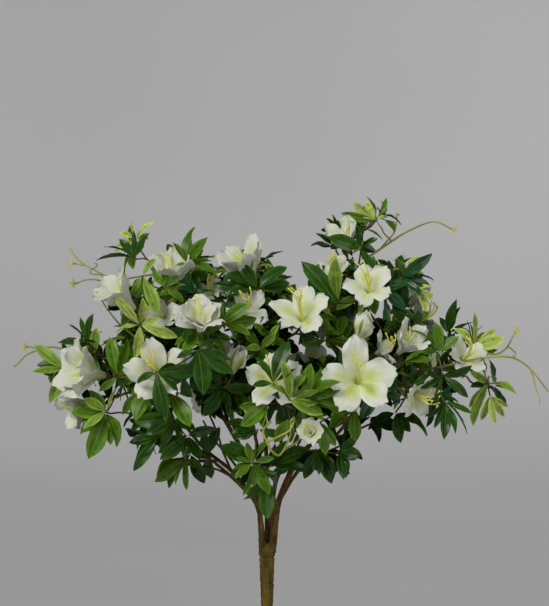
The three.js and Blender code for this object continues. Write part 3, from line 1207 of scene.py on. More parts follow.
@dataclass
class Woodwork:
    """The moulded stem and its boughs, with bark in relief. Lengths in millimetres.

    Attributes:
        stem_radius: The stem's radius below its swelling.
        stem_top_radius: Its radius at the seam.
        collar_radius: The radius of the collar above the seam, where the boughs start.
        stem_foot: Where the stem starts, inside the fill.
        swell_start: Where it starts to swell.
        seam: The height of the moulding seam.
        faint_seam: The height of a second, fainter one.
        collar_top: The height of the collar's top.
        root_flare: How much wider a bough is where it leaves the collar.
        limb_flare: How much wider a bough is where it leaves another bough.
        ridge_scale: How many bark ridges a metre holds along x, y and z.
        knob_scale: How many knobs a metre holds.
        boughs: The route, root radius and tip radius of each bough, by node name.
        side_limbs: The same of the thin limbs that leave them.
    """

    stem_radius: float = 5.5
    stem_top_radius: float = 7.05
    collar_radius: float = 8.3
    stem_foot: float = 80.0
    swell_start: float = 179.0
    seam: float = 224.7
    faint_seam: float = 200.5
    collar_top: float = 234.0
    root_flare: float = 1.45
    limb_flare: float = 1.16
    ridge_scale: Point = (900, 900, 210)
    knob_scale: float = 330
    boughs: dict[str, Limb] = field(
        default_factory=lambda: {
            "bough_left_low": (((-3.8, -2.6, 230), (-8, -9, 270), (-24, -18, 293), (-66, -36, 331)), 2.7, 1),
            "bough_right_low": (((4.2, -2.8, 230), (14, -11, 287), (42, -15, 333), (84, -14, 360)), 2.9, 2.1),
            "bough_left_mid": (((-3.6, 3.4, 230), (-10, 11, 286), (-24, 16, 324), (-51, 2, 372)), 2.4, 1.9),
            "bough_centre": (((0.8, 4.6, 230), (0, 16, 277), (-1, 24, 325), (-5, 0, 400)), 2.3, 1.8),
            "bough_right_inner": (((4.8, 2.2, 230), (7, -2, 290), (21, -8, 321), (42, -40, 372)), 2.2, 1.7),
            "bough_left_rear": (((-13, -10, 283), (-34, 0, 306), (-64, 26, 329), (-98, 62, 372)), 1.9, 1.5),
            "bough_right_rear": (((6, 0, 268), (30, 24, 304), (70, 50, 340), (100, 72, 384)), 1.9, 1.5),
            "bough_rear": (((0, 17, 278), (-6, 40, 312), (-12, 60, 336), (-18, 84, 372)), 1.9, 1.5),
            "bough_front": (((9, -9, 266), (7, -30, 282), (-2, -52, 296), (-6, -62, 310)), 1.7, 1.4),
            "bough_front_high": (((8, -4, 296), (12, -40, 324), (14, -74, 350), (16, -100, 372)), 1.7, 1.4),
            "bough_base_left": (((-47, -26, 316), (-60, -18, 316), (-70, -8, 313), (-80, 2, 309)), 1.6, 1.3),
            "bough_base_right": (((26, -13, 313), (38, -20, 316), (48, -24, 320), (58, -27, 325)), 1.6, 1.3),
        }
    )
    side_limbs: tuple[Limb, ...] = (
        (((-12, -11, 281), (-19, -12, 297), (-34, -7, 317), (-49, 0, 334), (-60, 6, 352)), 1.35, 0.9),
        (((-34, -8, 308), (-41, -8, 324), (-46, -4, 340), (-54, 2, 358)), 1.15, 0.9),
        (((-22, 15, 320), (-29, 15, 338), (-34, 18, 352), (-38, 22, 368)), 1.15, 0.9),
        (((-52, -30, 320), (-66, -24, 324), (-82, -14, 326), (-98, -6, 330)), 1.2, 0.9),
        (((-30, -20, 300), (-46, -30, 309), (-62, -30, 311), (-74, -20, 316)), 1.2, 0.9),
        (((13, -10, 283), (20, -2, 304), (28, 8, 326), (40, 14, 352)), 1.5, 1.0),
        (((42, -15, 333), (60, -10, 336), (80, -2, 342), (104, 8, 352)), 1.4, 1.0),
    )

    def limb(self, bag: MeshBag, path: Array, radii: Array, sides: int, relief: float, slot: int) -> None:
        """Adds one limb with ridged bark.

        Args:
            bag: The bag that it goes into.
            path: The points of its middle line, in metres.
            radii: Its radius at each point, in metres.
            sides: How many sides its section has.
            relief: How high the ridges stand, in metres.
            slot: Its material slot.
        """
        headings = np.gradient(path, axis=0)
        across = square_to(BACK, unit(headings[0]))
        rings = []
        for place, heading, radius in zip(path, headings, radii):
            along = unit(heading)
            across = square_to(across, along)
            side = np.cross(along, across)
            ring = []
            for number in range(sides + 1):
                turn = 2 * pi * (number % sides) / sides
                out = cos(turn) * across + sin(turn) * side
                spot = place + out * radius
                ridges = noise.noise(Vector(spot * self.ridge_scale))
                knobs = noise.noise(Vector(spot * self.knob_scale + 7))
                ring.append(place + out * (radius + relief * (0.75 * ridges + 0.6 * knobs)))
            rings.append(ring)
        closed = [[path[0]] * (sides + 1), *rings, [path[-1]] * (sides + 1)]
        points = np.array(closed).reshape(-1, 3)
        faces = grid_faces(len(closed), sides + 1)[:, ::-1]
        bag.add(points, faces, np.full(len(faces), slot))

    def stem_radius_at(self, height: float) -> float:
        """The stem's radius with its swelling, its collar and its seam grooves.

        Args:
            height: The height, in millimetres.

        Returns:
            The radius there, in millimetres.
        """
        share = (height - self.swell_start) / (self.seam - self.swell_start)
        radius = blend(self.stem_radius, self.stem_top_radius, min(1.0, max(0.0, share)))
        if height > self.seam:
            above = (height - self.seam) / (self.collar_top - self.seam)
            radius += (self.collar_radius - self.stem_top_radius) * min(1.0, above * 1.3)
        shoulder = self.collar_top - 5
        if height > shoulder:
            radius *= sqrt(max(0.02, 1 - ((height - shoulder) / 10) ** 2))
        for seam, depth in ((self.seam, 0.9), (self.faint_seam, 0.35)):
            radius -= depth * exp(-(((height - seam) / 0.9) ** 2))
            radius += 0.45 * depth * exp(-(((height - seam + 2.2) / 1.1) ** 2))
        return radius

    def build(self, growth: Growth) -> None:
        """Builds stem and boughs as one piece with bark.

        Args:
            growth: The branching rule, which learns where the boughs are.
        """
        bag = MeshBag()
        heights = np.arange(self.stem_foot, self.collar_top + 4.5, 0.8)
        path = np.stack([np.zeros_like(heights), np.zeros_like(heights), heights], axis=1) * MM
        radii = np.array([self.stem_radius_at(float(h)) for h in heights]) * MM
        self.limb(bag, path, radii, 44, 0.55 * MM, 0)
        for route, root, tip in self.boughs.values():
            line = smooth_path(route, 90) * MM
            gauge = np.linspace(root, tip, len(line)) * MM
            flare = self.root_flare if route[0][2] < self.collar_top else self.limb_flare
            gauge[:24] *= np.linspace(flare, 1.0, 24)
            self.limb(bag, line, gauge, 14, 0.32 * MM, 1)
            growth.learn(line[::5], gauge[::5])
        for route, root, tip in self.side_limbs:
            line = smooth_path(route, 60) * MM
            gauge = np.linspace(root, tip, len(line)) * MM
            self.limb(bag, line, gauge, 10, 0.22 * MM, 1)
            growth.learn(line[::5], gauge[::5])
        finishes = (
            BarkFinish("stem_bark", (52, 43, 6), (112, 95, 26)),
            BarkFinish("bough_bark", (50, 39, 12), (116, 91, 35), 0.64),
        )
        piece = bag.build("stem_and_boughs", [finish.material() for finish in finishes])
        seat(piece, ["main_stem", "stem_collar", *self.boughs])


@dataclass(frozen=True)
class Tendril:
    """One curly tendril, in millimetres.

    Attributes:
        route: The points that it passes.
        star: How many points the star at its tip has, or none.
        thick: Its radius at the root.
        curl: How many turns it curls at its end.
        node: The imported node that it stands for, if any.
    """

    route: tuple[Point, ...]
    star: int = 4
    thick: float = 1.15
    curl: float = 0.0
    node: str = ""


@dataclass
class Tendrils:
    """All tendrils, with their curled ends and star tips. Lengths in millimetres.

    Attributes:
        plans: The tendrils.
        steps: How many points the line of one has, without its curl.
        curl_radius: The radius of a curl where it starts.
        curl_steps: How many points a curl has.
        star_reach: The reach of a star's points.
        graft_reach: How near a side tendril has to start to another one to be drawn onto it.
    """

    plans: Sequence[Tendril]
    steps: int = 40
    curl_radius: float = 4.0
    curl_steps: int = 25
    star_reach: float = 5.6
    graft_reach: float = 15.0

    def path(self, plan: Tendril, rng: Random) -> Array:
        """A tendril's middle line: its route with a slight wander, then its curl.

        Args:
            plan: The tendril.
            rng: The random source of its wander.

        Returns:
            The line's points, in metres.
        """
        line = smooth_path(plan.route, self.steps)
        share = np.linspace(0, 1, self.steps)
        for axis in range(3):
            phase, pitch = rng.uniform(0, 6.3), rng.uniform(9, 15)
            line[:, axis] += 0.9 * np.sin(pitch * share + phase) * share
        if plan.curl:
            along = unit(line[-1] - line[-3])
            side = square_to(np.array([0.2, 0.1, 1.0]), along)
            depth = np.cross(along, side)
            turns = np.linspace(0, 2 * pi * plan.curl, self.curl_steps + 1)[1:]
            coil = []
            for turn, shrink in zip(turns, np.linspace(1, 0.45, self.curl_steps)):
                ring = sin(turn) * along + (1 - cos(turn)) * side
                coil.append(line[-1] + self.curl_radius * shrink * ring + 0.7 * turn * depth)
            line = np.vstack([line, coil])
        return line * MM

    def graft(self, line: Array, rods: Sequence[Rod]) -> Array:
        """Draws the root of a side tendril onto the nearest tendril, where one is near.

        Args:
            line: The side tendril's points.
            rods: The tendrils that are made already.

        Returns:
            Its points, as they are now.
        """
        if not rods:
            return line
        gaps = np.vstack([rod.path for rod in rods]) - line[0]
        nearest = gaps[np.argmin(np.linalg.norm(gaps, axis=1))]
        if np.linalg.norm(nearest) > self.graft_reach * MM:
            return line
        return line + nearest * np.linspace(1, 0, len(line))[:, None] ** 2

    def star(self, bag: MeshBag, tip: Array, along: Array, plan: Tendril, rng: Random) -> None:
        """Lays the flat moulded star that ends a tendril.

        Args:
            bag: The bag that it goes into.
            tip: The end of the tendril, in metres.
            along: The way that the tendril points there.
            plan: The tendril.
            rng: The random source of its points.
        """
        face = unit(np.array([rng.uniform(-0.3, 0.3), -1.0, rng.uniform(0.0, 0.5)]))
        first = square_to(along, face)
        second = np.cross(face, first)
        corners = []
        for number in range(2 * plan.star):
            turn = pi * number / plan.star + rng.uniform(-0.12, 0.12)
            reach = self.star_reach * (0.36 if number % 2 else rng.uniform(0.85, 1.1)) * MM
            out = cos(turn) * first + sin(turn) * second
            corners.append(tip + reach * out - face * reach * 0.25)
        points = np.array([tip + face * 0.9 * MM, *corners])
        valleys = [2 * number + 2 for number in range(plan.star)]
        faces = [(0, valleys[n - 1], 2 * n + 1, valleys[n]) for n in range(plan.star)]
        bag.add(points, np.array(faces), np.zeros(plan.star, int))

    def build(self, maker: RodMaker) -> None:
        """Builds the tendrils as one piece and their star tips as another.

        Args:
            maker: Makes the rods.
        """
        rng = Random(Seed.TENDRILS)
        rods, stars = [], MeshBag()
        for plan in self.plans:
            line = self.path(plan, rng)
            if not plan.node:
                line = self.graft(line, rods)
            rods.append(Rod(line, np.linspace(plan.thick, 0.62 * plan.thick, len(line)) * MM))
            if plan.star:
                self.star(stars, line[-1], unit(line[-1] - line[-3]), plan, rng)
        vine = VineFinish("vine_plastic", (142, 143, 50), (180, 178, 80)).material()
        nodes = [plan.node for plan in self.plans if plan.node]
        seat(maker.build("tendrils", rods, 7, vine), nodes)
        pale = VineFinish("star_plastic", (168, 164, 84), (192, 186, 104)).material()
        seat(stars.build("tendril_stars", [pale]))


# --- Foliage ---


@dataclass(frozen=True)
class Whorl:
    """One whorl whose leaves are set one by one.

    Attributes:
        at: The tip of its twig, in millimetres.
        tone: Its dye.
        leaves: For each leaf its angle up from the right, as seen from the front, its length, and
            its width as a share of the usual one where it differs.
        lean: Degrees that its leaves lean towards the front.
    """

    at: Point
    tone: Tone
    leaves: tuple[tuple[float, ...], ...]
    lean: float = 16.0


# How light a whorl's place may be for each dye, from the heart of the bush outwards; the dark dyes inside and
# low down are partly painted shade
TONE_LIMITS = (
    (0.42, Tone.PAINTED_SHADE),
    (0.68, Tone.DARK),
    (0.76, Tone.TEAL),
    (1.04, Tone.MID),
    (1.2, Tone.FRESH),
    (inf, Tone.LIME),
)


@dataclass
class Foliage:
    """Fills each mass of the crown with twigs and whorls of leaves.

    Attributes:
        blooms: Blooms, which whorls keep clear of.
        whorls: Whorls that are set one by one.
        spacing: How far whorls stand apart, in millimetres.
        inset: How far inside the mass's outline a whorl's twig ends, in millimetres.
        open_below: Below this height, in metres, the front is kept open so that boughs show.
        open_front: In front of this depth, in metres, it is kept open.
        dip: The left and right side and the floor of the dip in the bush's top, in metres.
        split: The depth at which leaves belong to the rear half, in metres.
        seam_span: How far apart a front and a rear mass are at most that a whorl joins, in metres.
        seam_top: The height up to which it does, in metres.
        airy: Masses with fewer whorls than the others, and the share that they have.
    """

    growth: Growth
    press: LeafPress
    blooms: Sequence[Bloom]
    whorls: Sequence[Whorl]
    rng: Random
    spacing: float = 21.5
    inset: float = 20.0
    open_below: float = 0.375
    open_front: float = 0.03
    dip: tuple[float, float, float] = (0.013, 0.038, 0.474)
    split: float = 0.02
    seam_span: float = 0.135
    seam_top: float = 0.485
    airy: dict[str, float] = field(
        default_factory=lambda: {
            "mass_left_crest": 0.15,
            "mass_crest_sprig": 0.12,
            "mass_left_shoulder": 0.7,
            "mass_left_tip": 0.65,
            "mass_left_upper": 0.75,
            "mass_top_right": 0.55,
            "mass_right_upper": 0.7,
            "mass_right_tip": 0.7,
            "mass_right_droop": 0.5,
        }
    )
    front: MeshBag = field(default_factory=MeshBag)
    rear: MeshBag = field(default_factory=MeshBag)
    centre: Array = field(default_factory=lambda: np.array([0.0, 0.0, 0.40]))

    def __post_init__(self) -> None:
        """Notes the foot, axis and width of every bloom."""
        self.bloom_axes = np.array([facing(plan.turn, plan.rise) for plan in self.blooms])
        self.bloom_sizes = np.array([plan.size * MM for plan in self.blooms])
        depths = np.array([BLOOM_RINGS[plan.form][1] for plan in self.blooms]) * self.bloom_sizes
        self.bloom_feet = np.array([plan.at for plan in self.blooms]) * MM - depths[:, None] * self.bloom_axes

    def in_throat(self, points: Array) -> bool:
        """Whether a leaf would pass through the throat of a bloom.

        Args:
            points: The leaf's points.

        Returns:
            True if any of them lies in a throat.
        """
        off = points[:, None, :] - self.bloom_feet
        ahead = np.einsum("ijk,jk->ij", off, self.bloom_axes)
        beside = np.sqrt(np.maximum(np.einsum("ijk,ijk->ij", off, off) - ahead**2, 0.0))
        level = ahead / self.bloom_sizes
        within = beside < (0.05 + 0.38 * level) * self.bloom_sizes
        return bool(np.any((level > 0.0) & (level < 0.34) & within))

    def add_leaf(
        self, tip: Array, base: Array, along: Array, upper: Array, length: float, tone: Tone, broad: float
    ) -> None:
        """Adds one leaf unless it would pass through a bloom's throat.

        Args:
            tip: The tip of its whorl's twig.
            base, along, upper, length, tone, broad: The same as for LeafPress.lay.
        """
        points, slots = self.press.lay(base, along, upper, length, tone, self.rng, broad)
        if not self.in_throat(points):
            self.bag_for(tip).add(points, self.press.faces, slots)

    def masses(self) -> dict[str, Box]:
        """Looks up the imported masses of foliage.

        Returns:
            The middle and the half size of each by its name, in metres.
        """
        found = {}
        for name in sorted(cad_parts):
            if name.startswith("mass_"):
                low, high = (np.array(corner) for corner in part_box(name))
                found[name] = ((low + high) / 2, (high - low) / 2)
        return found

    def bag_for(self, place: Array) -> MeshBag:
        """The leaf bag of the front or of the rear half."""
        return self.front if place[1] < self.split else self.rear

    def pick_tone(self, outward: float, height: float) -> Tone:
        """A dye for a whorl: dark inside and low down, partly as painted shade, with light new tips at the
        outside.

        Args:
            outward: From 0 at the heart of the bush to 1 at its outline.
            height: From 0 at the lowest leaf to 1 at the highest.

        Returns:
            The tone.
        """
        # Lighter outwards and upwards: the light new tips are the cloth's own, the darkening inside and low
        # down is partly painted shade
        light = 0.75 * outward + 0.45 * height + self.rng.uniform(-0.42, 0.42)
        return next(tone for limit, tone in TONE_LIMITS if light < limit)

    def make_room(self, place: Array) -> Array:
        """Moves a whorl out of the way of the blooms.

        Args:
            place: Where the whorl would sit.

        Returns:
            Where it can sit.
        """
        for plan in self.blooms:
            middle, axis = np.array(plan.at) * MM, facing(plan.turn, plan.rise)
            off = place - middle
            ahead = float(off @ axis)
            beside = float(np.linalg.norm(off - axis * ahead))
            # Out of the bloom's throat and the room before it
            room = plan.size * MM * (0.3 if plan.form is Form.HALF else 0.4)
            if beside < room and -0.2 * room < ahead < 2.4 * room:
                place = place - axis * (ahead + 16 * MM)
            # Out of the view of it, from the front or from the back
            towards = -1.0 if plan.at[1] < 0 else 1.0
            in_view = hypot(place[0] - middle[0], place[2] - middle[2]) < 0.85 * room
            if in_view and (place[1] - middle[1]) * towards > -6 * MM:
                place = place.copy()
                place[1] = middle[1] - towards * 24 * MM
        for whorl in self.whorls:
            tip = np.array(whorl.at) * MM
            if hypot(place[0] - tip[0], place[2] - tip[2]) < 17 * MM and place[1] < tip[1] + 10 * MM:
                place = place.copy()
                place[1] = tip[1] + 22 * MM
        return place

    def whorl(self, tip: Array, axis: Array, tone: Tone, count: int, length: float) -> None:
        """Lays one whorl of leaves round a twig's tip.

        Args:
            tip: Where the twig ends.
            axis: The way that the twig points.
            tone: The dye of its grown leaves.
            count: How many leaves it has.
            length: The length of its largest leaves, in metres.
        """
        first = square_to(UP + 0.2 * axis[::-1], axis)
        second = np.cross(axis, first)
        start = self.rng.uniform(0, 2 * pi)
        tones = list(Tone)
        for number in range(count):
            # The first leaves are long and spread wide, the last ones small and nearly upright
            inner = number / max(1, count - 1)
            angle = start + GOLDEN_TURN * number + self.rng.uniform(-0.25, 0.25)
            out = cos(angle) * first + sin(angle) * second
            tilt = radians(98 - 62 * inner + self.rng.uniform(-26, 26))
            along = unit(cos(tilt) * axis + sin(tilt) * out - UP * (0.10 * (1 - inner)))
            size = length * (1 - 0.42 * inner) * self.rng.uniform(0.86, 1.1)
            base = tip + axis * (inner - 0.55) * 9 * MM
            dye = tone
            if inner > 0.7 and tone in (Tone.DARK, Tone.MID, Tone.FRESH) and self.rng.random() < 0.5:
                dye = tones[tones.index(tone) + 1] if tone is not Tone.DARK else Tone.MID
            upper = axis * 0.9 + 0.35 * UP - 0.4 * out + self.jitter(0.55)
            self.add_leaf(tip, base, along, upper, size, dye, 1.0)

    def set_whorl(self, plan: Whorl) -> None:
        """Lays a whorl whose leaves are set one by one.

        Args:
            plan: The whorl.
        """
        tip = np.array(plan.at) * MM
        for number, (angle, length, *width) in enumerate(plan.leaves):
            a = radians(angle)
            lean = radians(plan.lean + self.rng.uniform(-20, 20))
            flat = np.array([cos(a), 0, sin(a)])
            along = cos(lean) * flat - sin(lean) * BACK
            upper = np.array([0, -1.0, 0.45]) + self.jitter(0.75)
            base = tip + flat * 1.5 * MM + np.array([0, 0.6 * MM * number, 0])
            broad = width[0] if width else 1.0
            self.add_leaf(tip, base, along, upper, length * MM, plan.tone, broad)

    def hubs(self, masses: dict[str, Box]) -> None:
        """Carries a main twig from the boughs to the middle of every mass, nearest first.

        Args:
            masses: The middle and half size of each mass.
        """
        waiting = dict(masses)

        def gap(name: str) -> float:
            """How far a mass is from what has grown."""
            return float(np.min(np.linalg.norm(np.array(self.growth.places) - waiting[name][0], axis=1)))

        while waiting:
            middle, half = waiting.pop(min(waiting, key=gap))
            inward = middle - unit(middle - self.centre) * float(half.min()) * 0.35
            self.growth.grow(inward, unit(middle - self.centre + 0.04 * UP), 1.7 * MM, 1.25 * MM)

    def fill_mass(
        self, middle: Array, half: Array, share: float, others: list[Box], low: float, high: float
    ) -> None:
        """Fills one mass with whorls, an even shell of them and a few inside.

        Args:
            middle: Its middle.
            half: Its half sizes.
            share: How many whorls it has, as a share of the usual number.
            others: Middle and half sizes of the other masses.
            low: The height of the crown's foot.
            high: The height of the crown's top.
        """
        shell = np.maximum(half - self.inset * MM, 6 * MM)
        area = 4 * pi * (float(np.prod(shell)) ** (2 / 3)) / MM**2
        count = max(1, round(share * area / (self.spacing**2 * 0.72)))
        spin = self.rng.uniform(0, 2 * pi)
        for number in range(count):
            rise = 1 - 2 * (number + 0.5) / count
            flat = sqrt(1 - rise * rise)
            angle = spin + GOLDEN_TURN * number
            way = np.array([flat * cos(angle), flat * sin(angle), rise])
            depth = self.rng.uniform(0.82, 1.06)
            place = middle + way * shell * depth
            inside = any(float(np.sum(((place - m) / h) ** 2)) < 0.62 for m, h in others)
            if inside and self.rng.random() < 0.3:
                continue
            if place[1] < self.open_front and place[2] < self.open_below and self.rng.random() < 0.55:
                continue
            if self.dip[0] < place[0] < self.dip[1] and place[2] > self.dip[2]:
                continue
            place = self.make_room(place)
            outward = unit(place - self.centre)
            axis = unit(0.75 * way + 0.55 * outward + 0.3 * UP + self.jitter(0.2))
            reach = float(np.linalg.norm((place - self.centre) / np.array([0.24, 0.16, 0.15])))
            height = (float(place[2]) - low) / (high - low)
            # Whorls inside another mass get the nearly black dye, which is painted shade
            tone = Tone.PAINTED_SHADE if inside else self.pick_tone(min(1.0, reach), height)
            self.add_whorl(place, axis, tone)

    def add_whorl(self, place: Array, axis: Array, tone: Tone) -> None:
        """Grows a twig to a place and lays a whorl at its tip."""
        self.growth.grow(place, axis, 1.15 * MM, 0.8 * MM)
        length = self.rng.uniform(26, 34) * MM * (0.75 if tone is Tone.LIME else 1.0)
        self.whorl(place, axis, tone, self.rng.randint(6, 8), length)

    def fill_seams(self, masses: dict[str, Box]) -> None:
        """Closes the gaps between front and rear masses, which show from the sides.

        Args:
            masses: The middle and half size of each mass.
        """
        rear = [middle for name, (middle, _) in masses.items() if "rear" in name]
        front = [middle for name, (middle, _) in masses.items() if "rear" not in name]
        for here, there in ((a, b) for a in rear for b in front):
            if np.linalg.norm(there - here) > self.seam_span:
                continue
            place = here + (there - here) * self.rng.uniform(0.4, 0.6) + self.jitter(12 * MM)
            if self.open_below < place[2] < self.seam_top and not self.dip[0] < place[0] < self.dip[1]:
                axis = unit(unit(place - self.centre) + 0.3 * UP + self.jitter(0.4))
                # Whorls in the seams get the darker dyes; the nearly black one is painted shade
                self.add_whorl(place, axis, self.rng.choice((Tone.PAINTED_SHADE, Tone.DARK, Tone.MID)))

    def jitter(self, size: float) -> Array:
        """A small random offset."""
        return np.array([self.rng.uniform(-size, size) for _ in range(3)])

    def build(self) -> None:
        """Grows all twigs and lays all leaves."""
        masses = self.masses()
        low = min(float(m[2] - h[2]) for m, h in masses.values())
        high = max(float(m[2] + h[2]) for m, h in masses.values())
        self.hubs(masses)
        for plan in self.whorls:
            self.growth.grow(np.array(plan.at) * MM, unit(np.array([0, -0.8, 0.4])), 1.1 * MM, 0.8 * MM)
            self.set_whorl(plan)
        self.rng = Random(Seed.GROWN_WHORLS)
        for name, (middle, half) in masses.items():
            others = [value for key, value in masses.items() if key != name]
            self.fill_mass(middle, half, self.airy.get(name, 1.0), others, low, high)
        self.fill_seams(masses)


# --- Pot ---


@dataclass
class ClayPot:
    """The turned pot, its set fill and the bark chips on it. Lengths in millimetres.

    Attributes:
        neck_radius: The outer radius just below the band round the mouth.
        clearance: The gap between the fill and the pot.
        sides: How many sides the turning has.
        chips: How many chips lie on the fill.
    """

    height: float = 150.0
    foot_radius: float = 58.0
    neck_radius: float = 77.0
    band_bottom: float = 124.0
    band_radius: float = 84.5
    mouth_radius: float = 75.0
    floor: float = 10.0
    floor_radius: float = 51.5
    fill_top: float = 138.0
    clearance: float = 0.35
    sides: int = 120
    chips: int = 230

    def rounded(self, corner: Pair, before: float, after: float, radius: float) -> list[Pair]:
        """Points of an arc that rounds a corner of the profile.

        Args:
            corner: Radius and height of the arc's middle.
            before: Angle at which the arc starts, in degrees.
            after: Angle at which it ends.
            radius: Its radius.

        Returns:
            Radius and height of each point.
        """
        turns = np.radians(np.linspace(before, after, 7))
        return [(corner[0] + radius * cos(t), corner[1] + radius * sin(t)) for t in turns]

    def build_pot(self) -> None:
        """Turns the pot."""
        lip, under, foot = 2.4, 1.6, 2.0
        wall = [
            (blend(self.foot_radius, self.neck_radius, share), blend(foot, self.band_bottom, share))
            for share in np.linspace(0.04, 0.98, 26)
        ]
        band = [
            (self.band_radius - 0.6 + 0.5 * share, self.band_bottom + 4 + 17 * share)
            for share in (0.2, 0.5, 0.8)
        ]
        inner = [
            (blend(self.mouth_radius, self.floor_radius, share), blend(self.height - 3, self.floor, share))
            for share in np.linspace(0.03, 1.0, 16)
        ]
        profile = [
            (0, 0),
            *[(radius, 0) for radius in (18, 36, 50)],
            *self.rounded((self.foot_radius - foot, foot), -90, 0, foot),
            *wall,
            (self.neck_radius + 0.6, self.band_bottom + 0.2),
            *self.rounded((self.band_radius - under - 0.6, self.band_bottom + under + 0.4), -80, 0, under),
            *band,
            *self.rounded((self.band_radius - lip, self.height - lip), 0, 90, lip),
            *self.rounded((self.mouth_radius + lip, self.height - lip), 90, 180, lip),
            *inner,
            *[(radius, self.floor) for radius in (44, 22)],
            (0, self.floor),
        ]
        piece = turned_mesh("clay_pot", [(r * MM, z * MM) for r, z in profile], self.sides)
        for vertex in piece.data.vertices:
            out = Vector((vertex.co.x, vertex.co.y, 0))
            if out.length > 1e-6 and vertex.co.z > 1e-5:
                lines = noise.noise(Vector((0, 0, vertex.co.z * 420)))
                sag = noise.noise(vertex.co * 18)
                vertex.co += out.normalized() * (0.12 * lines + 0.25 * sag - 0.3) * MM
        piece.data.materials.append(ClayFinish().material())
        seat(piece, ["pot"])

    def build_fill(self) -> Object:
        """Makes the set fill, with a lumpy top.

        Returns:
            The object, linked to the scene.
        """
        wall_run = (self.mouth_radius - self.floor_radius) / (self.height - 1.5 - self.floor)
        gap = self.clearance + 0.9
        top_radius = self.floor_radius + wall_run * (self.fill_top - self.floor) - gap
        rings = [top_radius - 1.2 - step * 3.2 for step in range(int(top_radius / 3.2))]
        profile = [
            (0, self.floor + self.clearance),
            (self.floor_radius - gap, self.floor + self.clearance),
            (top_radius, self.fill_top - 1.4),
            *[(radius, self.fill_top - 0.6) for radius in rings if radius > 3],
            (0, self.fill_top - 0.6),
        ]
        piece = turned_mesh("set_fill", [(r * MM, z * MM) for r, z in profile], 96)
        for vertex in piece.data.vertices:
            if vertex.co.z > (self.fill_top - 1) * MM:
                lumps = noise.noise(vertex.co * 110) + 0.6 * noise.noise(vertex.co * 320)
                vertex.co.z += (0.9 * lumps - 0.4) * MM
        piece.data.materials.append(FillFinish().material())
        return piece

    def chip(self) -> Object:
        """Makes one splinter of bark, a small rough slab.

        Returns:
            The object, linked to the scene.
        """
        rng = Random(Seed.CHIP)
        corners = 7
        outline = [(cos(a), sin(a)) for a in np.linspace(0, 2 * pi, corners, endpoint=False)]
        low = [(4.2 * x * rng.uniform(0.8, 1.1), 2.0 * y * rng.uniform(0.7, 1.1), 0.0) for x, y in outline]
        high = [(x * 0.86, y * 0.8, 1.1 * rng.uniform(0.7, 1.2)) for x, y, _ in low]
        faces = [tuple(reversed(range(corners))), tuple(range(corners, 2 * corners))]
        for here in range(corners):
            following = (here + 1) % corners
            faces.append((here, following, corners + following, corners + here))
        mesh = bpy.data.meshes.new("chip")
        mesh.from_pydata([tuple(c * MM for c in p) for p in low + high], [], faces)
        return linked("chip", mesh)

    def scatter_sheet(self) -> GeometrySheet:
        """Fills the node tree that strews chips over the fill.

        Returns:
            The sheet with the tree.
        """
        kinds = {"Ground": "Geometry", "Chip": "Object", "Density": "Float", "Seed": "Int"}
        kinds |= {"Smallest": "Float", "Largest": "Float", "Finish": "Material"}
        sheet = GeometrySheet("strewn_chips", kinds)
        ground = {"Mesh": sheet.given("Ground")}
        ground |= {key: sheet.given(key) for key in ("Density", "Seed")}
        spots = sheet.node("GeometryNodeDistributePointsOnFaces", {}, ground)
        chip = sheet.node("GeometryNodeObjectInfo", {}, {"Object": sheet.given("Chip")}, "Geometry")
        tilts = {"Min": (-0.35, -0.35, 0), "Max": (0.35, 0.35, 2 * pi)}
        turn = sheet.node("FunctionNodeRandomValue", {"data_type": "FLOAT_VECTOR"}, tilts)
        sizes = {2: sheet.given("Smallest"), 3: sheet.given("Largest")}
        size = sheet.node("FunctionNodeRandomValue", {"data_type": "FLOAT"}, sizes, 1)
        sockets = {"Points": spots, "Instance": chip, "Rotation": turn, "Scale": size}
        sheet.hand_out(sheet.node("GeometryNodeInstanceOnPoints", {}, sockets))
        return sheet

    def build_chips(self) -> None:
        """Strews bark chips over the top of the fill."""
        inner, outer, sides = 9.0, self.mouth_radius - 9.0, 48
        turns = np.linspace(0, 2 * pi, sides + 1)
        top = self.fill_top - 0.5
        rings = np.array([(r * cos(t), r * sin(t), top) for r in (inner, outer) for t in turns])
        ground = MeshBag()
        ground.add(rings * MM, grid_faces(2, sides + 1), np.zeros(sides, int))
        chip = self.chip()
        values = {
            "Chip": chip,
            "Density": self.chips / (pi * (outer**2 - inner**2) * MM**2),
            "Seed": 7,
            "Smallest": 0.55,
            "Largest": 1.5,
            "Finish": ChipFinish().material(),
        }
        piece = self.scatter_sheet().run(ground.build("chip_ground", []), "bark_chips", values)
        bpy.data.objects.remove(chip)
        seat(piece)

    def build(self) -> None:
        """Builds pot, fill and chips."""
        self.build_pot()
        seat(self.build_fill(), ["pot_fill"])
        self.build_chips()


# --- Studio ---


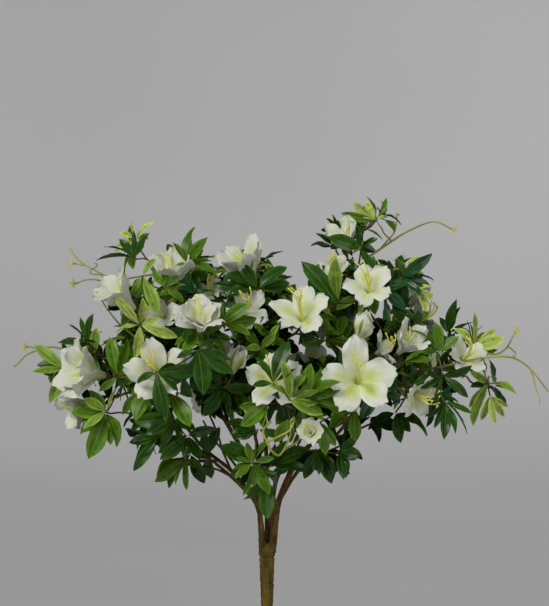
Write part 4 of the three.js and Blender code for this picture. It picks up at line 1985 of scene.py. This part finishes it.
@dataclass
class Studio:
    """The camera, the lights and a bowl of pale paper all round. Metres.

    Attributes:
        distance: From the camera to the middle of the bush.
        middle: What the camera looks at, straight ahead.
        framed: The height of what the camera frames at the bush.
    """

    distance: float = 2.0
    middle: Point = (0.007, 0.0, 0.4623)
    framed: float = 0.5666
    bowl_radius: float = 6.0
    bowl_bend: float = 2.6
    bowl_height: float = 2.7

    def camera(self) -> None:
        """Makes the camera, level and square to the front."""
        data = bpy.data.cameras.new("camera")
        data.sensor_width = 36.0
        data.lens = data.sensor_width * self.distance / self.framed
        data.clip_end = 60
        made = linked("camera", data)
        made.location = (self.middle[0], -self.distance, self.middle[2])
        made.rotation_euler = (radians(90), 0, 0)
        bpy.context.scene.camera = made

    def bowl(self) -> None:
        """Makes the floor, which bends up into a wall all round."""
        flat = self.bowl_radius - self.bowl_bend
        profile = [(0.0, 0.0), *[(flat * share, 0.0) for share in (0.25, 0.5, 0.75, 1.0)]]
        for turn in np.radians(np.linspace(6, 90, 15)):
            profile.append((flat + self.bowl_bend * sin(turn), self.bowl_bend * (1 - cos(turn))))
        profile.append((self.bowl_radius, self.bowl_height))
        turns = np.linspace(0, 2 * pi, 97)
        points = np.array([(r * cos(t), r * sin(t), z) for r, z in profile for t in turns])
        bag = MeshBag()
        faces = grid_faces(len(profile), len(turns))
        bag.add(points, faces, np.zeros(len(faces), int))
        bag.build("studio_bowl", [StageFinish().material()])

    def lamp(self, name: str, place: Point, size: float, power: float) -> None:
        """Adds one soft lamp that points at the bush.

        Args:
            name: Its name.
            place: Where it stands.
            size: Its width.
            power: Its power, in watts.
        """
        data = bpy.data.lights.new(name, "AREA")
        data.shape = "DISK"
        data.size = size
        data.energy = power
        made = linked(name, data)
        made.location = place
        aim = Vector(self.middle) - Vector(place)
        made.rotation_euler = aim.to_track_quat("-Z", "Y").to_euler()

    def sky(self, turn: float, rise: float, width: float, power: float) -> None:
        """Adds the wide even light of a large window.

        Args:
            turn: Degrees to the right that it comes from.
            rise: Degrees above the level that it comes from.
            width: How wide it is, in degrees.
            power: Its strength.
        """
        data = bpy.data.lights.new("window_light", "SUN")
        data.angle = radians(width)
        data.energy = power
        made = linked("window_light", data)
        made.rotation_euler = Vector(-facing(turn, rise)).to_track_quat("-Z", "Y").to_euler()

    def build(self) -> None:
        """Builds the whole studio."""
        self.camera()
        self.bowl()
        self.sky(-36, 37, 28, 1.6)
        self.lamp("fill_lamp", (2.6, -3.0, 1.4), 2.4, 30)
        self.lamp("front_lamp", (-1.9, -2.9, 0.9), 1.8, 12)
        world = bpy.data.worlds.new("studio")
        world.use_nodes = True
        background = world.node_tree.nodes["Background"]
        background.inputs["Color"].default_value = (1, 1, 1, 1)
        background.inputs["Strength"].default_value = 0.2
        bpy.context.scene.world = world
        bpy.context.scene.view_settings.view_transform = "Standard"


# --- Plans of single blooms, whorls and tendrils ---

OPEN, CUP, HALF, FAN, DOUBLE, SMALL, BUD = Form

FRONT_BLOOMS = (
    Bloom((-162, -82, 401), -58, 12, 66, CUP, 0.95),
    Bloom((-172, -66, 366), -60, -22, 54, HALF, 1.2),
    Bloom((-96, -121, 402), -6, 14, 73, OPEN, 0.5, 12),
    Bloom((-86, -60, 491), -8, 60, 62, FAN, 0.7),
    Bloom((-20, -58, 500), -40, 50, 64, FAN, 0.8),
    Bloom((-58, -140, 452), 4, 52, 62, DOUBLE, 0.85),
    Bloom((-18, -72, 457), 18, 26, 54, OPEN, 0.2, 30),
    Bloom((-52, -44, 474), -20, 50, 42, OPEN, 0.3),
    Bloom((-132, -80, 470), -56, 40, 60, FAN, 0.4),
    Bloom((-95, -66, 452), -20, 20, 42, OPEN, 0.3, 20),
    Bloom((-26, -108, 411), 24, 48, 48, BUD, 4.0),
    Bloom((6, -140, 394), -8, 20, 64, OPEN, 0.9, 8),
    Bloom((30, -104, 455), -10, 42, 66, OPEN, 1.1),
    Bloom((70, -44, 524), -36, 52, 50, HALF, 0.3),
    Bloom((91, -94, 478), -2, 34, 57, OPEN, 0.9, 24),
    Bloom((62, -70, 490), -50, 40, 42, OPEN, 0.4),
    Bloom((84, -114, 438), 40, 66, 52, BUD, 3.6),
    Bloom((80, -134, 397), 0, 12, 82, OPEN, 1.0, 6),
    Bloom((127, -84, 428), 42, 40, 52, HALF, 0.45),
    Bloom((182, -56, 414), 30, 22, 52, OPEN, 0.6, 10),
    Bloom((138, -82, 378), 38, -28, 50, OPEN, 0.75),
    Bloom((38, -142, 351), -6, 16, 34, SMALL, 0.9, 45),
    Bloom((137, -36, 470), 30, 40, 40, HALF, 0.4),
    Bloom((105, -98, 422), 70, 30, 40, OPEN, 0.2),
)

REAR_BLOOMS = (
    Bloom((-130, 116, 402), -150, 14, 66, OPEN, 0.5, 10),
    Bloom((-96, 126, 436), 190, 30, 74, OPEN, 0.7),
    Bloom((-70, 112, 490), 200, 55, 58, DOUBLE, 0.4),
    Bloom((-30, 140, 400), 178, 8, 76, OPEN, 0.6, 20),
    Bloom((-4, 134, 468), 182, 34, 70, OPEN, 0.4, 5),
    Bloom((44, 138, 396), 172, 12, 66, OPEN, 0.8, 15),
    Bloom((70, 126, 486), 160, 46, 66, OPEN, 0.5),
    Bloom((118, 122, 424), 158, 20, 74, OPEN, 0.35, 24),
    Bloom((158, 96, 400), 120, 8, 60, HALF, 0.6),
    Bloom((-116, 96, 446), -140, 40, 54, HALF, 0.5),
    Bloom((150, 52, 446), 96, 36, 60, OPEN, 0.4, 12),
    Bloom((-60, 130, 370), 196, -8, 56, HALF, 0.7),
    Bloom((90, 128, 378), 165, -6, 54, DOUBLE, 0.5),
    Bloom((38, 116, 452), 172, 50, 60, OPEN, 0.5, 18),
    Bloom((-172, 30, 420), -104, 20, 42, SMALL, 0.4),
)

TENDRILS = (
    Tendril(
        ((-104, -10, 489), (-141, -16, 485), (-166, -18, 496), (-182, -14, 512)),
        0, 0.9, 0.2, "tendril_left_high",
    ),
    Tendril(((-168, -17, 497), (-174, -16, 498), (-182, -15, 500)), 4, 0.8),
    Tendril(
        ((-122, -50, 458), (-144, -58, 479), (-158, -60, 483), (-176, -60, 481)),
        4, 0.9, 0.0, "tendril_left_fork",
    ),
    Tendril(((-140, -57, 474), (-150, -60, 487), (-160, -60, 489), (-156, -60, 494)), 0, 0.8, 0.4),
    Tendril(
        ((-120, -60, 432), (-134, -66, 444), (-145, -72, 459), (-154, -76, 471)),
        4, 0.95, 0.0, "tendril_left_hook",
    ),
    Tendril(
        ((-178, 0, 417), (-205, 2, 421), (-222, 5, 415), (-238, 8, 403)),
        0, 1.15, 0.0, "tendril_left_low",
    ),
    Tendril(((-205, 2, 421), (-214, 2, 421), (-226, 2, 421)), 4, 0.8),
    Tendril(
        ((96, 0, 506), (128, 8, 527), (155, 16, 539), (175, 18, 531)),
        5, 1.15, 0.0, "tendril_right_high",
    ),
    Tendril(((112, 4, 502), (120, 4, 520), (124, 4, 536), (122, 4, 543)), 0, 0.85, 0.35),
    Tendril(((116, 6, 520), (108, 4, 530), (103, 2, 540)), 0, 0.85),
    Tendril(
        ((150, -44, 402), (197, -52, 412), (229, -44, 411), (258, -36, 382)),
        0, 1.15, 0.0, "tendril_right_far",
    ),
    Tendril(((240, -42, 398), (246, -42, 384), (251, -42, 368)), 0, 0.8),
    Tendril(
        ((186, -20, 420), (205, -22, 415), (219, -24, 419), (231, -28, 438)),
        5, 1.15, 0.0, "tendril_right_star",
    ),
    Tendril(((222, -25, 422), (228, -26, 418), (229, -27, 413)), 0, 0.75, 0.3),
    Tendril(((191, -50, 411), (198, -44, 402), (203, -34, 390)), 0, 0.9),
    Tendril(
        ((4, -150, 360), (-3, -158, 352), (2, -160, 344), (16, -160, 350), (24, -158, 360)),
        0, 1.1, 0.5,
    ),
    Tendril(
        ((0, -158, 345), (4, -160, 336), (12, -158, 332), (20, -156, 348), (22, -154, 362)),
        0, 1.1,
    ),
    Tendril(((10, -156, 338), (24, -140, 342), (36, -104, 348)), 0, 1.0),
    Tendril(((-112, -96, 428), (-108, -112, 418), (-106, -120, 410), (-102, -124, 404)), 0, 0.9, 0.5),
)

PAINTED_SHADE, DARK, TEAL, MID, FRESH, LIME = Tone

SET_WHORLS = (
    # Left crest, with its long narrow leaf
    Whorl((-122, -8, 521), LIME, ((59, 23), (105, 19), (145, 16), (24, 14), (200, 20))),
    Whorl((-122, -20, 504), DARK, ((126, 22), (64, 25), (94, 24, 0.5), (146, 29, 0.5), (174, 35, 0.55))),
    Whorl((-72, -59, 498), MID, (
        (90, 34, 0.9), (119, 23, 0.8), (56, 32, 0.8), (14, 21, 0.5), (349, 29), (185, 9),
    )),
    Whorl((-65, -66, 470), TEAL, ((135, 18), (113, 19), (168, 18, 0.6), (75, 15), (20, 16))),
    Whorl((-46, -76, 459), TEAL, ((10, 17), (88, 13, 0.6), (200, 13))),
    Whorl((-112, -72, 487), FRESH, ((295, 39, 0.8), (60, 18), (240, 20, 0.6))),
    Whorl((-92, -72, 476), MID, ((90, 17), (125, 18), (40, 16), (10, 18, 0.6), (330, 20))),
    # Top middle, a wide dark whorl below its bloom
    Whorl((-8, -68, 475), DARK, ((146, 33), (122, 27), (44, 32), (28, 28, 0.5), (12, 28), (178, 31))),
    Whorl((-9, -62, 468), DARK, ((160, 40, 0.7), (336, 23), (195, 24), (60, 20))),
    # Left side
    Whorl((-113, -94, 443), LIME, (
        (132, 33, 0.8), (76, 23, 0.9), (186, 23, 0.8), (265, 29, 0.8), (342, 34, 0.7), (20, 18),
    )),
    Whorl((-163, -50, 427), DARK, ((183, 26), (132, 22, 0.5), (84, 25), (204, 29, 0.45), (110, 22, 0.6))),
    Whorl((-182, -50, 402), FRESH, (
        (144, 38, 0.7), (185, 32, 0.6), (246, 36, 0.7), (228, 24, 0.6), (94, 14), (322, 13),
    )),
    Whorl((-133, -88, 396), MID, ((103, 36, 0.9), (72, 38, 0.6), (47, 26, 0.8), (219, 20), (20, 18))),
    Whorl((-144, -84, 364), MID, ((180, 29, 1.2), (119, 23), (214, 29), (253, 43), (284, 28), (302, 31))),
    Whorl((-143, -88, 366), FRESH, ((216, 26, 0.8), (71, 21, 0.6), (150, 22))),
    # Across the big left bloom
    Whorl((-96, -136, 402), DARK, ((203, 19), (280, 41), (331, 40), (2, 42, 0.8), (22, 18)), 6),
    Whorl((-99, -106, 389), MID, ((228, 36, 1.2), (190, 22))),
    Whorl((-83, -116, 382), MID, ((304, 33, 1.2), (250, 24))),
    Whorl((-60, -136, 421), DARK, ((282, 39), (263, 24), (349, 29), (330, 36), (33, 17), (194, 20))),
    Whorl((-39, -112, 444), MID, ((42, 27, 1.2), (8, 30), (350, 26), (200, 20), (100, 18))),
    # Dark heart and the left underside
    Whorl((-40, -74, 386), DARK, ((0, 26), (290, 22), (120, 28), (180, 26), (240, 30))),
    Whorl((-83, -74, 359), DARK, ((207, 29), (187, 35), (287, 21), (245, 27), (330, 22))),
    Whorl((-72, -64, 342), DARK, ((225, 31), (200, 29), (300, 26), (265, 21), (20, 26))),
    Whorl((-97, -62, 342), DARK, ((220, 31, 0.8), (231, 39, 0.6), (195, 27))),
    Whorl((-75, -28, 319), MID, ((190, 31), (215, 35), (242, 25, 0.7), (272, 28, 0.6), (330, 20))),
    Whorl((-71, -12, 322), DARK, ((229, 37, 1.2), (292, 29, 1.2), (0, 20), (160, 24))),
    Whorl((-55, -30, 322), DARK, ((275, 21, 1.3), (71, 27), (100, 24))),
    # Low middle whorl in front of the fork
    Whorl((-12, -88, 319), MID, (
        (108, 18), (63, 28, 0.9), (189, 19), (334, 23, 0.9), (254, 29, 0.8), (298, 31, 0.8),
    )),
    Whorl((-12, -92, 320), MID, ((222, 21, 0.9), (276, 22, 0.9), (15, 18), (310, 17), (165, 15))),
    Whorl((-8, -100, 350), DARK, ((186, 24), (168, 28), (205, 20), (345, 22))),
    Whorl((-13, -82, 320), DARK, ((155, 34), (138, 26), (300, 20), (215, 22))),
    Whorl((-2, -70, 303), DARK, ((276, 34, 1.2), (230, 25), (300, 20)), 4),
    Whorl((4, -78, 317), DARK, ((357, 33), (27, 39), (60, 24)), 6),
    # Front middle, light tips over mid leaves
    Whorl((20, -154, 379), FRESH, (
        (96, 35, 0.8), (42, 28, 0.8), (349, 24, 0.7), (330, 33, 0.8),
        (124, 20), (68, 26, 0.8), (18, 25, 0.7),
    )),
    Whorl((34, -142, 379), MID, (
        (84, 31), (58, 30, 0.8), (38, 33, 0.9), (352, 36, 0.8), (14, 30, 0.6), (340, 38, 1.2), (310, 24),
    )),
    Whorl((2, -140, 375), MID, ((217, 32, 1.2), (191, 25), (240, 22))),
    Whorl((6, -158, 393), DARK, ((75, 39), (116, 27, 0.7), (180, 17), (35, 22)), 8),
    Whorl((20, -130, 362), MID, ((239, 25), (275, 22))),
    Whorl((48, -104, 357), MID, ((280, 29), (300, 24), (250, 20))),
    Whorl((45, -66, 330), DARK, ((248, 29, 1.1), (278, 23), (303, 33, 1.1), (320, 28))),
    Whorl((65, -60, 327), DARK, ((351, 21, 1.3), (303, 23), (285, 25), (40, 20))),
    # Right side
    Whorl((78, -108, 368), MID, ((270, 27, 1.3), (200, 28, 1.2))),
    Whorl((94, -40, 358), PAINTED_SHADE, ((340, 29), (300, 23), (200, 25))),
    Whorl((118, -40, 362), DARK, ((281, 26, 1.1), (338, 34), (200, 28), (310, 22))),
    Whorl((157, -86, 397), DARK, (
        (188, 26, 0.8), (13, 28, 0.9), (212, 22, 0.8), (252, 29, 0.8), (324, 29, 0.7),
    )),
    Whorl((160, -84, 374), DARK, (
        (315, 33, 0.6), (292, 30, 0.6), (269, 34, 0.7), (248, 25, 0.6),
        (225, 20, 0.7), (182, 22, 0.5), (338, 27, 0.6),
    )),
    Whorl((204, -27, 388), FRESH, ((243, 40, 0.7), (228, 28, 0.6), (146, 18), (358, 27, 0.6))),
    Whorl((206, -27, 377), LIME, ((276, 26, 0.7), (303, 23, 0.6), (328, 20, 0.5), (252, 24, 0.6))),
    Whorl((190, -44, 423), LIME, ((39, 24, 0.8), (13, 29, 1.1), (91, 30, 0.9), (127, 26))),
    Whorl((166, -36, 434), DARK, ((84, 34, 0.6), (71, 28, 0.8), (29, 24, 0.6), (340, 15), (110, 16))),
    Whorl((154, -80, 418), MID, ((123, 33, 1.1), (91, 26, 1.1), (40, 22, 1.2), (170, 20))),
    Whorl((122, -102, 410), MID, ((158, 22, 1.1), (135, 28, 1.1), (35, 22, 1.2), (10, 24))),
    # Right shoulder and top
    Whorl((123, -46, 485), TEAL, (
        (39, 34, 0.7), (14, 28, 0.6), (347, 28, 0.7), (322, 26, 0.7), (220, 22), (285, 30, 0.8),
    )),
    Whorl((136, -46, 475), LIME, ((332, 19), (300, 22), (20, 12))),
    Whorl((105, -84, 474), TEAL, ((72, 20), (21, 21), (318, 25), (270, 27), (200, 18), (150, 16))),
    Whorl((85, -62, 512), DARK, ((82, 20), (98, 17), (37, 18), (150, 21, 1.2), (162, 31), (296, 21, 1.2))),
    Whorl((64, -86, 464), FRESH, ((98, 41, 0.8), (48, 27, 1.3))),
    Whorl((62, -84, 463), DARK, ((125, 47, 0.8), (150, 20))),
    Whorl((44, -62, 483), MID, ((135, 13), (82, 14), (20, 14))),
    Whorl((62, -33, 514), DARK, ((167, 23), (139, 21, 0.6), (175, 14), (100, 18))),
    Whorl((63, -25, 531), DARK, ((122, 11), (95, 13, 0.6), (185, 12))),
    Whorl((100, -30, 538), LIME, ((143, 26), (116, 19), (35, 8))),
    Whorl((101, -28, 538), MID, ((171, 32, 0.7), (102, 23, 0.5), (61, 23, 0.5))),
    Whorl((54, -68, 429), MID, ((195, 25), (310, 27), (350, 27), (150, 22))),
    Whorl((68, -64, 433), MID, ((157, 29, 1.1), (90, 20, 1.4))),
    # Behind the big left bloom
    Whorl((-112, -68, 382), MID, ((222, 26, 1.1), (250, 22), (186, 24, 0.8), (285, 24))),
    Whorl((-106, -60, 368), DARK, ((200, 28, 0.8), (232, 26), (312, 24), (340, 24, 1.1))),
)


# --- Assembly ---


def build_blooms(maker: RodMaker, growth: Growth, plans: Sequence[Bloom]) -> None:
    """Builds all blooms, each on a twig of its own.

    Args:
        maker: Makes the rods.
        growth: The branching rule that carries the blooms.
        plans: The blooms.
    """
    rng = Random(Seed.BLOOMS)
    blooms = BloomMaker()
    for plan in plans:
        foot, axis = blooms.bloom(plan, rng)
        growth.grow(foot, axis, 1.3 * MM, 1.0 * MM)
    seat(blooms.petals.build("petals", petal_dyes()))
    moulded = (
        ("stamens", blooms.filaments, 6, VineFinish("stamen_plastic", (222, 224, 92), (234, 234, 124), 0.4)),
        ("anthers", blooms.anthers, 7, VineFinish("anther_plastic", (218, 216, 84), (230, 228, 108), 0.5)),
        ("calyces", blooms.cups, 10, VineFinish("calyx_plastic", (64, 44, 24), (96, 80, 42), 0.55)),
    )
    for name, rods, sides, finish in moulded:
        seat(maker.build(name, rods, sides, finish.material()))


def build_bush() -> None:
    """Builds the plant, from the stem outwards."""
    maker, press = RodMaker(), LeafPress()
    growth = Growth(Random(Seed.TWIGS))
    Woodwork().build(growth)
    plans = (*FRONT_BLOOMS, *REAR_BLOOMS)
    foliage = Foliage(growth, press, plans, SET_WHORLS, Random(Seed.SET_WHORLS))
    foliage.build()
    build_blooms(maker, growth, plans)
    Tendrils(TENDRILS).build(maker)
    twigs = BarkFinish("twig_bark", (60, 52, 18), (122, 108, 48), 0.6).material()
    seat(maker.build("twigs", growth.twigs, 6, twigs))
    masses = sorted(foliage.masses())
    leaves = press.materials()
    front = foliage.front.build("leaves_front", leaves)
    rear = foliage.rear.build("leaves_rear", leaves)
    seat(front, [name for name in masses if "rear" not in name])
    seat(rear, [name for name in masses if "rear" in name])


def main() -> None:
    """Builds everything in order."""
    logging.basicConfig(level=logging.INFO, format="%(name)s: %(message)s")
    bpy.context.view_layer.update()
    Studio().build()
    ClayPot().build()
    build_bush()


if __name__ == "__main__":
    main()
